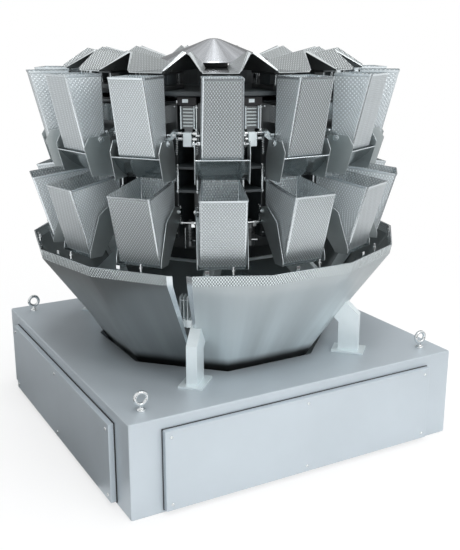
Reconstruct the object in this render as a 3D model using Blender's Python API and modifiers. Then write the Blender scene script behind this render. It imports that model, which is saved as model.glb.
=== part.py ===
"""Multihead weigher: a ring of pool hoppers and weigh hoppers over a collecting chute, on a square cabinet.

Metres, +Z up. The origin is the centre of the cabinet's underside. -Y is the front.
Head number 1 faces -Y, and the others follow it clockwise when seen from above, towards -X.
One head is drawn in its own plane, outward along -Y, and the ring repeats it.
"""

import math

import bmesh
import bpy
from mathutils import Matrix

# Small clearances
SEAT = 0.0003
PIN_CLEARANCE = 0.0004

# Ring of heads
HEADS = 14
HEAD_STEP = 2 * math.pi / HEADS
HEAD_SPREAD = math.tan(HEAD_STEP / 2)

# Cabinet
BASE_SIDE = 1.15
BASE_HEIGHT = 0.295
BASE_EDGE = 0.006
COVER_INSET = 0.10
COVER_LENGTH = BASE_SIDE - 2 * COVER_INSET
COVER_DROP = 0.035
COVER_LIFT = 0.012
COVER_DEPTH = 0.02
COVER_EDGE = 0.003
HOLE_SIDES = 8
HOLE_RADIUS = 0.405
OUTLET_RADIUS = 0.175
WELL_OVERCUT = 0.02
LEDGE_HEIGHT = 0.05

# Lifting eyes
EYE_INSET = 0.07
EYE_PLACE = BASE_SIDE / 2 - EYE_INSET
EYE_RADIUS = 0.018
EYE_WIRE = 0.0055
EYE_SHANK = 0.022
EYE_COLLAR_RADIUS = 0.013
EYE_COLLAR_HEIGHT = 0.005

# Collecting chute
SHEET = 0.002
CHUTE_SHEET = 0.0025
RIM_RADIUS = 0.608
CHUTE_RISE = 0.365
RIM_TOP = BASE_HEIGHT + CHUTE_RISE
RIM_BAND = 0.03
RIM_FLARE = 0.006
CHUTE_DIP = 0.033
CHUTE_FOOT = BASE_HEIGHT - CHUTE_DIP
CHUTE_FOOT_MARGIN = 0.035
CHUTE_FOOT_RADIUS = HOLE_RADIUS - CHUTE_FOOT_MARGIN
CHUTE_SEGMENTS = 3
CHUTE_GAP_CENTRE = math.radians(37.5)
CHUTE_GAP_TOP = math.radians(3.4)
CHUTE_GAP_FOOT = math.radians(0.8)

# Lower funnel
FUNNEL_MOUTH_MARGIN = 0.013
FUNNEL_MOUTH_RADIUS = HOLE_RADIUS - FUNNEL_MOUTH_MARGIN
FUNNEL_MOUTH_DIP = 0.045
FUNNEL_MOUTH_HEIGHT = BASE_HEIGHT - FUNNEL_MOUTH_DIP
FUNNEL_THROAT_MARGIN = 0.025
FUNNEL_THROAT_RADIUS = OUTLET_RADIUS - FUNNEL_THROAT_MARGIN
FUNNEL_THROAT_RISE = 0.04
FUNNEL_THROAT_HEIGHT = LEDGE_HEIGHT + FUNNEL_THROAT_RISE
FUNNEL_FLANGE_OVERLAP = 0.04
FUNNEL_FLANGE_RADIUS = OUTLET_RADIUS + FUNNEL_FLANGE_OVERLAP
FUNNEL_FLANGE = 0.004
SPOUT_FOOT = 0.006

# Weigh hoppers, in distance from the axis and height
WEIGH_CLEARANCE = 0.012
WEIGH_TIP_HEIGHT = RIM_TOP + WEIGH_CLEARANCE
WEIGH_FOOT_RISE = 0.128
WEIGH_BACK_FOOT_HEIGHT = WEIGH_TIP_HEIGHT + WEIGH_FOOT_RISE
WEIGH_FRONT_TOP = 0.607
WEIGH_FRONT_HEIGHT = 0.202
WEIGH_FRONT_TOP_HEIGHT = WEIGH_TIP_HEIGHT + WEIGH_FRONT_HEIGHT
WEIGH_BACK_TOP = 0.420
WEIGH_BACK_HEIGHT = 0.102
WEIGH_BACK_TOP_HEIGHT = WEIGH_BACK_FOOT_HEIGHT + WEIGH_BACK_HEIGHT
WEIGH_TIP_BACK = 0.515
WEIGH_TIP_FRONT = 0.548
WEIGH_FRONT_WIDTH = 0.137
WEIGH_BACK_WIDTH = 0.116

# Pool hoppers
POOL_CLEARANCE = 0.010
POOL_BACK_FOOT = 0.457
POOL_BACK_FOOT_HEIGHT = WEIGH_BACK_TOP_HEIGHT + POOL_CLEARANCE
POOL_FRONT_FOOT = 0.545
POOL_FOOT_RISE = 0.068
POOL_FRONT_FOOT_HEIGHT = POOL_BACK_FOOT_HEIGHT + POOL_FOOT_RISE
POOL_FRONT_HEIGHT = 0.216
POOL_TOP = POOL_FRONT_FOOT_HEIGHT + POOL_FRONT_HEIGHT
POOL_FRONT_TOP = 0.598
POOL_BACK_TOP = 0.470
POOL_TOP_WIDTH = 0.113
POOL_FOOT_WIDTH = 0.121

# Radial feeders
FEEDER_CLEARANCE = 0.008
CONE_RADIUS = 0.19
CONE_MARGIN = 0.003
TROUGH_INNER = CONE_RADIUS + CONE_MARGIN
TROUGH_PEAK = 0.40
TROUGH_OVERHANG = 0.01
TROUGH_MOUTH = POOL_BACK_TOP + TROUGH_OVERHANG
TROUGH_FLOOR = POOL_TOP + FEEDER_CLEARANCE
TROUGH_INNER_HEIGHT = 0.013
TROUGH_PEAK_HEIGHT = 0.056
TROUGH_MOUTH_HEIGHT = 0.006
TROUGH_LIP = 0.010
TROUGH_END_LIP = 0.002
TROUGH_GAP = 0.003
TROUGH_FLOOR_WIDTH = 0.10
TROUGH_INNER_WIDTH = 2 * (TROUGH_INNER * HEAD_SPREAD - TROUGH_END_LIP - TROUGH_GAP)
TROUGH_INNER_SLOPE = 0.006
TROUGH_INNER_FLOOR_WIDTH = TROUGH_INNER_WIDTH - 2 * TROUGH_INNER_SLOPE
TROUGH_PEAK_WIDTH = 2 * (TROUGH_PEAK * HEAD_SPREAD - TROUGH_LIP - TROUGH_GAP)
TROUGH_MOUTH_WIDTH = 0.108
FEEDER_HEIGHT = 0.054
FEEDER_OUTER = 0.43
FEEDER_LENGTH = 0.13
FEEDER_INNER = FEEDER_OUTER - FEEDER_LENGTH
FEEDER_WIDTH = 0.07
FEEDER_SINK = 0.006

# Dispersion cone
CONE_LIFT = 0.018
CONE_RISE = 0.068
CONE_TIP_RADIUS = 0.03
CONE_TIP_ROUND = 0.006
CONE_RIM_HEIGHT = TROUGH_FLOOR + CONE_LIFT
CONE_TOP = CONE_RIM_HEIGHT + CONE_RISE
CONE_SHEET = 0.003
CONE_STEPS = 42
HUB_RADIUS = 0.05
CONE_SHAFT_RADIUS = 0.046
CONE_SHAFT_HEIGHT = 0.004
CONE_DRIVE_RADIUS = 0.13
CONE_DRIVE_TOP = TROUGH_FLOOR - CONE_SHAFT_HEIGHT
CONE_DRIVE_STEPS = 28

# Centre body and its top deck
DECK_TOP = TROUGH_FLOOR - FEEDER_HEIGHT
DECK_MARGIN = 0.025
DECK_RADIUS = POOL_BACK_TOP - DECK_MARGIN
DECK_THICKNESS = 0.012
BODY_TOP = DECK_TOP - DECK_THICKNESS - SEAT
BODY_LIFT = 0.325
BODY_FOOT = BASE_HEIGHT + BODY_LIFT
BODY_CHAMFER = 0.04
BODY_TAPER = 0.02
DRIVE_MARGIN = 0.01
DRIVE_FACE = WEIGH_BACK_TOP - DRIVE_MARGIN
DRIVE_DEPTH = 0.11
BODY_RADIUS = DRIVE_FACE - DRIVE_DEPTH
BODY_FOOT_RADIUS = BODY_RADIUS - BODY_TAPER

# Legs of the centre body
LEG_MARGIN = 0.09
LEG_REACH = HOLE_RADIUS + LEG_MARGIN
LEG_AZIMUTH = math.radians(35.13)
LEG_X = LEG_REACH * math.sin(LEG_AZIMUTH)
LEG_Y = LEG_REACH * math.cos(LEG_AZIMUTH)
LEG_DEPTH = 0.066
LEG_WIDTH = 0.034
LEG_BEND_INNER = 0.10
LEG_RUN_END = 0.2705
LEG_RUN = LEG_REACH - LEG_RUN_END
FOOT_LENGTH = 0.105
FOOT_WIDTH = 0.075
FOOT_PLATE = 0.006
LEG_NOTCH = 0.0005
STAND_PLATE = 0.008
STAND_MARGIN = 0.005
STAND_RADIUS = BODY_FOOT_RADIUS + STAND_MARGIN

# Drive units
DRIVE_WIDTH = 0.13
DRIVE_GAP = 0.004
DRIVE_LIFT = 0.10
DRIVE_FOOT = BODY_FOOT + DRIVE_LIFT
DRIVE_EDGE = 0.008

# Link rods between the heads
ROD_REACH = 0.425
ROD_DROP = 0.042
ROD_FOOT = WEIGH_BACK_TOP_HEIGHT - ROD_DROP
ROD_LENGTH = 0.14
ROD_TOP = ROD_FOOT + ROD_LENGTH
ROD_SIZE = 0.007
ROD_ARM = 0.012

# Hinge pins and gates
PIN_RADIUS = 0.004
PIN_SIDES = 10
PIN_PROUD = 0.004
POOL_PIVOT = (0.500, POOL_FRONT_FOOT_HEIGHT + 0.032)
WEIGH_PIVOT = (0.430, WEIGH_BACK_FOOT_HEIGHT + 0.006)
GATE_SHEET = 0.002
GATE_GAP = 0.0045
EAR_STANDOFF = 0.015
WEIGH_EAR_STANDOFF = 0.003
POOL_EAR_RISE = 0.009
POOL_EAR_BACK = 0.030
POOL_EAR_NOSE = 0.016
POOL_EAR_NOSE_LIFT = 0.012
POOL_EAR_CORNER = 0.010
POOL_EAR_TRIM = 0.004
POOL_FLAP_REACH = 0.003
POOL_LIP_REACH = 0.004
WEIGH_EAR_RISE = 0.012
WEIGH_EAR_BACK = 0.008
WEIGH_EAR_SHOULDER = 0.030
WEIGH_EAR_SLOPE = 0.010
WEIGH_EAR_FOOT = 0.008
WEIGH_LIP_REACH = 0.004
WEIGH_FLAP_INSET = 0.002
WEIGH_FLAP_DROP = 0.006

# Hangers
HANGER_SPREAD = 0.035
HANGER_THICKNESS = 0.008
HANGER_HEIGHT = 0.05
POOL_HANGER_DROP = 0.086
WEIGH_HANGER_DROP = 0.017


def clear_scene():
    for thing in list(bpy.data.objects):
        bpy.data.objects.remove(thing, do_unlink=True)


def make_collection(name):
    collection = bpy.data.collections.new(name)
    bpy.context.scene.collection.children.link(collection)
    return collection


def make_material(name, colour, roughness, metallic):
    material = bpy.data.materials.new(name)
    material.use_nodes = True
    shader = material.node_tree.nodes["Principled BSDF"]
    shader.inputs["Base Color"].default_value = (*colour, 1.0)
    shader.inputs["Roughness"].default_value = roughness
    shader.inputs["Metallic"].default_value = metallic
    return material


def add_object(name, shape, collection, material=None):
    """Makes an object from a bmesh, and frees it."""
    bmesh.ops.recalc_face_normals(shape, faces=shape.faces)
    mesh = bpy.data.meshes.new(name)
    shape.to_mesh(mesh)
    shape.free()
    thing = bpy.data.objects.new(name, mesh)
    collection.objects.link(thing)
    if material:
        mesh.materials.append(material)
    return thing


def hide_cutter(thing):
    thing.hide_render = True
    thing.display_type = "WIRE"
    return thing


def add_box(shape, low, high):
    size = [b - a for a, b in zip(low, high)]
    middle = [(a + b) / 2 for a, b in zip(low, high)]
    matrix = Matrix.Translation(middle) @ Matrix.Diagonal((*size, 1.0))
    return bmesh.ops.create_cube(shape, size=1.0, matrix=matrix)["verts"]


def add_prism(shape, outline, left, right):
    """Extrudes an outline of (distance from axis, height) points from x = left to x = right."""
    points = [shape.verts.new((left, -reach, height)) for reach, height in outline]
    face = shape.faces.new(points)
    grown = bmesh.ops.extrude_face_region(shape, geom=[face])["geom"]
    moved = [item for item in grown if isinstance(item, bmesh.types.BMVert)]
    bmesh.ops.translate(shape, verts=moved, vec=(right - left, 0, 0))


def add_rod(shape, radius, start, length, direction, sides):
    """A closed cylinder from start along direction, which is 'X', 'Y' or 'Z'."""
    turns = {"X": Matrix.Rotation(math.pi / 2, 4, "Y"), "Y": Matrix.Rotation(-math.pi / 2, 4, "X")}
    turn = turns.get(direction, Matrix.Identity(4))
    matrix = Matrix.Translation(start) @ turn @ Matrix.Translation((0, 0, length / 2))
    bmesh.ops.create_cone(
        shape, cap_ends=True, segments=sides, radius1=radius, radius2=radius, depth=length, matrix=matrix
    )


def solidify(thing, thickness, offset):
    shell = thing.modifiers.new("Sheet", "SOLIDIFY")
    shell.thickness = thickness
    shell.offset = offset
    shell.use_even_offset = True
    return shell


def bevel(thing, width, segments=1):
    edge = thing.modifiers.new("Edges", "BEVEL")
    edge.width = width
    edge.segments = segments
    edge.limit_method = "ANGLE"
    edge.harden_normals = False
    return edge


def boolean(thing, other, operation):
    cut = thing.modifiers.new(operation.title(), "BOOLEAN")
    cut.operation = operation
    cut.object = other
    cut.solver = "EXACT"
    return cut


def screw(thing, steps):
    turn = thing.modifiers.new("Turn", "SCREW")
    turn.axis = "Z"
    turn.angle = 2 * math.pi
    turn.steps = steps
    turn.render_steps = steps
    turn.use_merge_vertices = True
    turn.merge_threshold = 0.0001
    return turn


def ring_of(thing, count, guides):
    """Repeats an object round the axis, clockwise seen from above."""
    guide = bpy.data.objects.new(thing.name + "_step", None)
    guide.rotation_euler.z = -2 * math.pi / count
    guides.objects.link(guide)
    copies = thing.modifiers.new("Ring", "ARRAY")
    copies.use_relative_offset = False
    copies.use_object_offset = True
    copies.offset_object = guide
    copies.count = count
    copies.use_merge_vertices = False
    return copies


def mirror(thing, along_x, along_y):
    other = thing.modifiers.new("Mirror", "MIRROR")
    other.use_axis = (along_x, along_y, False)
    other.use_mirror_merge = False
    return other


def turned(name, profile, steps, collection, material):
    """Turns a profile of (radius, height) points round the axis."""
    shape = bmesh.new()
    points = [shape.verts.new((radius, 0, height)) for radius, height in profile]
    for first, second in zip(points, points[1:]):
        shape.edges.new((first, second))
    mesh = bpy.data.meshes.new(name)
    shape.to_mesh(mesh)
    shape.free()
    thing = bpy.data.objects.new(name, mesh)
    collection.objects.link(thing)
    screw(thing, steps)
    if material:
        mesh.materials.append(material)
    return thing


def polygon_reach(azimuth, sides, radius):
    """Distance from the axis to a regular polygon, with the middle of one side facing the front."""
    step = 2 * math.pi / sides
    off = (azimuth + step / 2) % step - step / 2
    return radius * math.cos(step / 2) / math.cos(off)


def outward(azimuth, reach, height):
    return (-math.sin(azimuth) * reach, -math.cos(azimuth) * reach, height)


def octagon_prism(name, radius, low, high, collection):
    shape = bmesh.new()
    middle = (low + high) / 2
    turn = Matrix.Rotation(math.pi / HOLE_SIDES, 4, "Z")
    bmesh.ops.create_cone(
        shape,
        cap_ends=True,
        segments=HOLE_SIDES,
        radius1=radius,
        radius2=radius,
        depth=high - low,
        matrix=Matrix.Translation((0, 0, middle)) @ turn,
    )
    return hide_cutter(add_object(name, shape, collection))


def make_base(parts, cutters, steel):
    """The cabinet with its discharge well, and the lifting eyes screwed into its corners."""
    shape = bmesh.new()
    half = BASE_SIDE / 2
    add_box(shape, (-half, -half, 0), (half, half, BASE_HEIGHT))
    base = add_object("base_cabinet", shape, parts, steel)
    bevel(base, BASE_EDGE, 2)
    well = octagon_prism("discharge_well", HOLE_RADIUS, LEDGE_HEIGHT, BASE_HEIGHT + WELL_OVERCUT, cutters)
    outlet = octagon_prism("outlet_hole", OUTLET_RADIUS, -WELL_OVERCUT, LEDGE_HEIGHT + WELL_OVERCUT, cutters)
    boolean(base, well, "DIFFERENCE")
    boolean(base, outlet, "DIFFERENCE")
    boolean(base, make_eyes(cutters), "UNION")


def make_covers(parts, steel):
    for quarter, name in enumerate(("cover_front", "cover_left", "cover_back", "cover_right")):
        shape = bmesh.new()
        back = -BASE_SIDE / 2 - SEAT
        low = (-COVER_LENGTH / 2, back - COVER_DEPTH, COVER_LIFT)
        high = (COVER_LENGTH / 2, back, BASE_HEIGHT - COVER_DROP)
        add_box(shape, low, high)
        cover = add_object(name, shape, parts, steel)
        cover.rotation_euler.z = -quarter * math.pi / 2
        bevel(cover, COVER_EDGE)


def make_eyes(cutters):
    """Four eye bolts, each a collar, a shank and an upright ring, one in each corner."""
    top = BASE_HEIGHT
    shape = bmesh.new()
    collar_foot = top - EYE_COLLAR_HEIGHT
    add_rod(shape, EYE_COLLAR_RADIUS, (EYE_PLACE, EYE_PLACE, collar_foot), 2 * EYE_COLLAR_HEIGHT, "Z", 12)
    eyes = hide_cutter(add_object("lifting_eyes", shape, cutters))
    shape = bmesh.new()
    add_rod(shape, EYE_WIRE, (EYE_PLACE, EYE_PLACE, top), EYE_SHANK, "Z", 8)
    shank = hide_cutter(add_object("eye_shank", shape, cutters))
    ring_height = top + EYE_SHANK + EYE_RADIUS - EYE_WIRE / 2
    bpy.ops.mesh.primitive_torus_add(
        major_radius=EYE_RADIUS,
        minor_radius=EYE_WIRE,
        major_segments=14,
        minor_segments=6,
        location=(EYE_PLACE, EYE_PLACE, ring_height),
        rotation=(math.pi / 2, 0, 0),
    )
    ring = bpy.context.object
    ring.name = "eye_ring"
    for holder in list(ring.users_collection):
        holder.objects.unlink(ring)
    cutters.objects.link(ring)
    hide_cutter(ring)
    boolean(eyes, shank, "UNION")
    boolean(eyes, ring, "UNION")
    mirror(eyes, True, True)
    return eyes


def chute_stations(start, end):
    """Azimuth pairs (at the rim, at the foot) from one end of a chute segment to the other."""
    corners = [(index + 0.5) * HEAD_STEP for index in range(-HEADS, 2 * HEADS)]
    corners += [(index + 0.5) * 2 * math.pi / HOLE_SIDES for index in range(-HOLE_SIDES, 2 * HOLE_SIDES)]
    inside = [corner for corner in sorted(corners) if start + CHUTE_GAP_TOP < corner < end - CHUTE_GAP_TOP]
    middle = [(corner, corner) for corner in inside]
    first = (start + CHUTE_GAP_TOP, start + CHUTE_GAP_FOOT)
    last = (end - CHUTE_GAP_TOP, end - CHUTE_GAP_FOOT)
    return [first] + middle + [last]


def make_chute(parts, notch, steel):
    """A funnel with one side for each head at the rim and eight sides at the foot, in segments."""
    names = ("chute_left", "chute_back", "chute_front")
    span = 2 * math.pi / CHUTE_SEGMENTS
    for index, name in enumerate(names):
        start = CHUTE_GAP_CENTRE + index * span
        shape = bmesh.new()
        rows = []
        for rim, foot in chute_stations(start, start + span):
            reach = polygon_reach(rim, HEADS, RIM_RADIUS)
            foot_reach = polygon_reach(foot, HOLE_SIDES, CHUTE_FOOT_RADIUS)
            row = [
                outward(foot, foot_reach, CHUTE_FOOT),
                outward(rim, reach, RIM_TOP - RIM_BAND),
                outward(rim, reach + RIM_FLARE, RIM_TOP),
            ]
            rows.append([shape.verts.new(point) for point in row])
        for near, far in zip(rows, rows[1:]):
            for level in range(len(near) - 1):
                shape.faces.new((near[level], far[level], far[level + 1], near[level + 1]))
        segment = add_object(name, shape, parts, steel)
        solidify(segment, CHUTE_SHEET, 0)
        boolean(segment, notch, "DIFFERENCE")


def make_funnel(parts, steel):
    flange_top = LEDGE_HEIGHT + SEAT + FUNNEL_FLANGE
    profile = [
        (FUNNEL_MOUTH_RADIUS, FUNNEL_MOUTH_HEIGHT),
        (FUNNEL_THROAT_RADIUS + CHUTE_SHEET, FUNNEL_THROAT_HEIGHT),
        (FUNNEL_THROAT_RADIUS + CHUTE_SHEET, flange_top),
        (FUNNEL_FLANGE_RADIUS, flange_top),
        (FUNNEL_FLANGE_RADIUS, LEDGE_HEIGHT + SEAT),
        (FUNNEL_THROAT_RADIUS + CHUTE_SHEET, LEDGE_HEIGHT + SEAT),
        (FUNNEL_THROAT_RADIUS + CHUTE_SHEET, SPOUT_FOOT),
        (FUNNEL_THROAT_RADIUS, SPOUT_FOOT),
        (FUNNEL_THROAT_RADIUS, FUNNEL_THROAT_HEIGHT),
        (FUNNEL_MOUTH_RADIUS - 2 * CHUTE_SHEET, FUNNEL_MOUTH_HEIGHT),
        (FUNNEL_MOUTH_RADIUS, FUNNEL_MOUTH_HEIGHT),
    ]
    funnel = turned("discharge_funnel", profile, HOLE_SIDES, parts, steel)
    funnel.rotation_euler.z = math.pi / HOLE_SIDES


def leg_lean():
    """Angle above the floor of the leaning part, which runs from the bend to the drum's foot."""
    return math.atan2(BODY_FOOT - SEAT - STAND_PLATE / 2 - BASE_HEIGHT - LEG_BEND_INNER, LEG_RUN)


def leg_outline(grow, top):
    """The leg's side view in its own leaning plane, as (distance outward from the foot's middle, height)."""
    foot = BASE_HEIGHT + SEAT - grow
    inner = -LEG_DEPTH / 2 - grow
    outer = LEG_DEPTH / 2 + grow
    lean = leg_lean()
    inner_bend = BASE_HEIGHT + LEG_BEND_INNER - grow * math.tan(lean / 2)
    outer_bend = inner_bend + (outer - inner) * math.tan(math.pi / 4 - lean / 2)
    slope = 1 / math.tan(lean)
    return [
        (inner, foot),
        (outer, foot),
        (outer, outer_bend),
        (outer - (top - outer_bend) * slope, top),
        (inner - (top - inner_bend) * slope, top),
        (inner, inner_bend),
    ]


def place_leg(thing):
    """Stands the leg on its foot at the front left and turns it to lean along the cabinet's diagonal."""
    matrix = Matrix.Translation((-LEG_X, -LEG_Y, 0)) @ Matrix.Rotation(-math.pi / 4, 4, "Z")
    thing.data.transform(matrix)


def make_legs(parts, cutters, steel):
    shape = bmesh.new()
    top = BODY_FOOT - SEAT
    add_prism(shape, leg_outline(0.0, top - STAND_PLATE / 2), -LEG_WIDTH / 2, LEG_WIDTH / 2)
    legs = add_object("body_stand", shape, parts, steel)
    place_leg(legs)
    shape = bmesh.new()
    low = (-FOOT_WIDTH / 2, -FOOT_LENGTH / 2, BASE_HEIGHT + SEAT)
    add_box(shape, low, (FOOT_WIDTH / 2, FOOT_LENGTH / 2, BASE_HEIGHT + SEAT + FOOT_PLATE))
    plate = hide_cutter(add_object("leg_foot_plate", shape, cutters))
    place_leg(plate)
    boolean(legs, plate, "UNION")
    mirror(legs, True, True)
    profile = [(0, top), (STAND_RADIUS, top), (STAND_RADIUS, top - STAND_PLATE), (0, top - STAND_PLATE)]
    boolean(legs, hide_cutter(turned("stand_plate", profile, HEADS, cutters, None)), "UNION")
    shape = bmesh.new()
    half = LEG_WIDTH / 2 + LEG_NOTCH
    add_prism(shape, leg_outline(LEG_NOTCH, RIM_TOP), -half, half)
    notch = hide_cutter(add_object("leg_notch", shape, cutters))
    place_leg(notch)
    mirror(notch, True, True)
    return notch


def make_centre_body(parts, cutters, guides, steel):
    """A drum with one side for each head, its drive units, the hooks on them and the link rods."""
    profile = [
        (0, BODY_TOP),
        (BODY_RADIUS, BODY_TOP),
        (BODY_RADIUS, BODY_FOOT + BODY_CHAMFER),
        (BODY_FOOT_RADIUS, BODY_FOOT),
        (0, BODY_FOOT),
    ]
    body = turned("centre_body", profile, HEADS, parts, steel)
    for piece in (
        drive_units(cutters),
        hanger_pairs("pool_hangers", POOL_BACK_TOP - SEAT, POOL_TOP - POOL_HANGER_DROP, cutters),
        hanger_pairs("weigh_hangers", WEIGH_BACK_TOP - SEAT, WEIGH_BACK_TOP_HEIGHT - WEIGH_HANGER_DROP, cutters),
        link_rods(cutters),
    ):
        ring_of(piece, HEADS, guides)
        boolean(body, hide_cutter(piece), "UNION")


def drive_half_width(reach):
    """Half the width of a drive unit, which narrows inward to stay clear of its neighbours."""
    return min(DRIVE_WIDTH / 2, reach * math.tan(HEAD_STEP / 2) - DRIVE_GAP)


def drive_units(cutters):
    shape = bmesh.new()
    inner = BODY_RADIUS - 2 * DRIVE_EDGE
    full = (DRIVE_WIDTH / 2 + DRIVE_GAP) / math.tan(HEAD_STEP / 2)
    plan = [(drive_half_width(reach), reach) for reach in (inner, max(full, inner + DRIVE_EDGE), DRIVE_FACE)]
    plan += [(-half, reach) for half, reach in reversed(plan)]
    points = [shape.verts.new((x, -reach, DRIVE_FOOT)) for x, reach in plan]
    grown = bmesh.ops.extrude_face_region(shape, geom=[shape.faces.new(points)])["geom"]
    moved = [item for item in grown if isinstance(item, bmesh.types.BMVert)]
    bmesh.ops.translate(shape, verts=moved, vec=(0, 0, BODY_TOP - 2 * DRIVE_EDGE - DRIVE_FOOT))
    drives = add_object("drive_units", shape, cutters)
    bevel(drives, DRIVE_EDGE)
    return drives


def hanger_pairs(name, front, high, cutters):
    """Two blocks on the face of a drive unit that reach the hopper's back wall."""
    shape = bmesh.new()
    low = high - HANGER_HEIGHT
    for side in (-HANGER_SPREAD, HANGER_SPREAD):
        left = side - HANGER_THICKNESS / 2
        add_box(shape, (left, -front, low), (left + HANGER_THICKNESS, -DRIVE_FACE + DRIVE_EDGE, high))
    return add_object(name, shape, cutters)


def link_rods(cutters):
    """A bright upright rod between two heads, on two arms that reach back to the drum."""
    shape = bmesh.new()
    inner = BODY_RADIUS - ROD_SIZE
    front = ROD_REACH + ROD_SIZE / 2
    back = ROD_REACH - ROD_SIZE / 2
    outline = [
        (inner, ROD_FOOT),
        (front, ROD_FOOT),
        (front, ROD_TOP),
        (inner, ROD_TOP),
        (inner, ROD_TOP - ROD_ARM),
        (back, ROD_TOP - ROD_ARM),
        (back, ROD_FOOT + ROD_ARM),
        (inner, ROD_FOOT + ROD_ARM),
    ]
    add_prism(shape, outline, -ROD_SIZE / 2, ROD_SIZE / 2)
    bmesh.ops.rotate(shape, verts=shape.verts, cent=(0, 0, 0), matrix=Matrix.Rotation(-HEAD_STEP / 2, 3, "Z"))
    return add_object("link_rods", shape, cutters)


def pool_half_width(_reach, height):
    share = (POOL_TOP - height) / (POOL_TOP - POOL_FRONT_FOOT_HEIGHT)
    return (POOL_TOP_WIDTH + (POOL_FOOT_WIDTH - POOL_TOP_WIDTH) * share) / 2


def weigh_half_width(reach, _height):
    """Half the width: narrow at the back wall, and full from the tip outward."""
    narrowing = (WEIGH_TIP_BACK - reach) / (WEIGH_TIP_BACK - WEIGH_BACK_TOP)
    share = min(max(narrowing, 0.0), 1.0)
    return (WEIGH_FRONT_WIDTH + (WEIGH_BACK_WIDTH - WEIGH_FRONT_WIDTH) * share) / 2


def open_shell(shape, outline, half_width_at, front):
    """Four walls round a side outline, open at the top and the foot.

    outline runs from the front top round the back to the front foot. front is how many of its
    last points are at the foot.
    """
    left = [shape.verts.new((-half_width_at(*point), -point[0], point[1])) for point in outline]
    right = [shape.verts.new((half_width_at(*point), -point[0], point[1])) for point in outline]
    shape.faces.new(left)
    shape.faces.new(list(reversed(right)))
    shape.faces.new((left[0], left[-1], right[-1], right[0]))
    for index in range(1, len(outline) - front):
        shape.faces.new((left[index + 1], left[index], right[index], right[index + 1]))


def hopper_mesh(name, outline, half_width_at, front, pivot, parts, cutters, steel, gate=None):
    """A folded sheet hopper with two hinge pins, and with its gate on them where it has one."""
    shape = bmesh.new()
    open_shell(shape, outline, half_width_at, front)
    hopper = add_object(name, shape, parts, steel)
    solidify(hopper, SHEET, -1)
    wall = half_width_at(*pivot)
    shape = bmesh.new()
    length = EAR_STANDOFF + GATE_SHEET + PIN_PROUD + SHEET / 2
    for side in (-1, 1):
        start = wall - SHEET / 2 if side > 0 else -(wall - SHEET / 2) - length
        add_rod(shape, PIN_RADIUS, (start, -pivot[0], pivot[1]), length, "X", PIN_SIDES)
    pins = hide_cutter(add_object(name + "_pins", shape, cutters))
    boolean(hopper, pins, "UNION")
    used = [pins]
    if gate:
        closed = hide_cutter(bpy.data.objects.new(name + "_gate", gate))
        closed.location = (0, -pivot[0], pivot[1])
        cutters.objects.link(closed)
        boolean(hopper, closed, "UNION")
        used.append(closed)
    return baked_mesh(hopper, used)


def baked_mesh(thing, used):
    """The mesh of an object with its modifiers applied. The object and what it used are removed."""
    graph = bpy.context.evaluated_depsgraph_get()
    mesh = bpy.data.meshes.new_from_object(thing.evaluated_get(graph))
    mesh.name = thing.name
    for each in [thing] + used:
        bpy.data.objects.remove(each, do_unlink=True)
    return mesh


def gate_mesh(name, ear, flap, pivot, ear_inside, bored, cutters, parts, steel):
    """One gate about its own pivot: two ears outside the hopper, joined by a bent flap under it."""
    shape = bmesh.new()
    ear_outside = ear_inside + GATE_SHEET
    here = [(reach - pivot[0], height - pivot[1]) for reach, height in ear]
    add_prism(shape, here, -ear_outside, -ear_inside)
    gate = add_object(name, shape, parts, steel)
    shape = bmesh.new()
    add_prism(shape, here, ear_inside, ear_outside)
    other = hide_cutter(add_object(name + "_ear", shape, cutters))
    shape = bmesh.new()
    here = [(reach - pivot[0], height - pivot[1]) for reach, height in flap]
    overlap = GATE_SHEET / 2
    add_prism(shape, here, -ear_inside - overlap, ear_inside + overlap)
    floor = hide_cutter(add_object(name + "_flap", shape, cutters))
    boolean(gate, floor, "UNION")
    boolean(gate, other, "UNION")
    used = [floor, other]
    if bored:
        shape = bmesh.new()
        reach = 2 * ear_outside
        add_rod(shape, PIN_RADIUS + PIN_CLEARANCE, (-reach, 0, 0), 2 * reach, "X", PIN_SIDES)
        hole = hide_cutter(add_object(name + "_hole", shape, cutters))
        boolean(gate, hole, "DIFFERENCE")
        used.append(hole)
    return baked_mesh(gate, used)


def place_ring(name, mesh, pivot, parts):
    """One object for each head, all with the same mesh, standing at their pivot."""
    for head in range(HEADS):
        azimuth = head * HEAD_STEP
        thing = bpy.data.objects.new("%s_%02d" % (name, head + 1), mesh)
        thing.location = outward(azimuth, *pivot)
        thing.rotation_euler.z = -azimuth
        parts.objects.link(thing)


def sheet_along(line, thickness):
    """Outline of a bent sheet whose upper face follows a line of (reach, height) points."""
    normals = []
    for (ax, az), (bx, bz) in zip(line, line[1:]):
        length = math.hypot(bx - ax, bz - az)
        normals.append(((bz - az) / length, -(bx - ax) / length))
    lower = []
    for index, (x, z) in enumerate(line):
        before = normals[max(index - 1, 0)]
        after = normals[min(index, len(normals) - 1)]
        nx, nz = before[0] + after[0], before[1] + after[1]
        scale = 2 * thickness / (nx * nx + nz * nz)
        lower.append((x + nx * scale, z + nz * scale))
    return line + list(reversed(lower))


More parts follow.
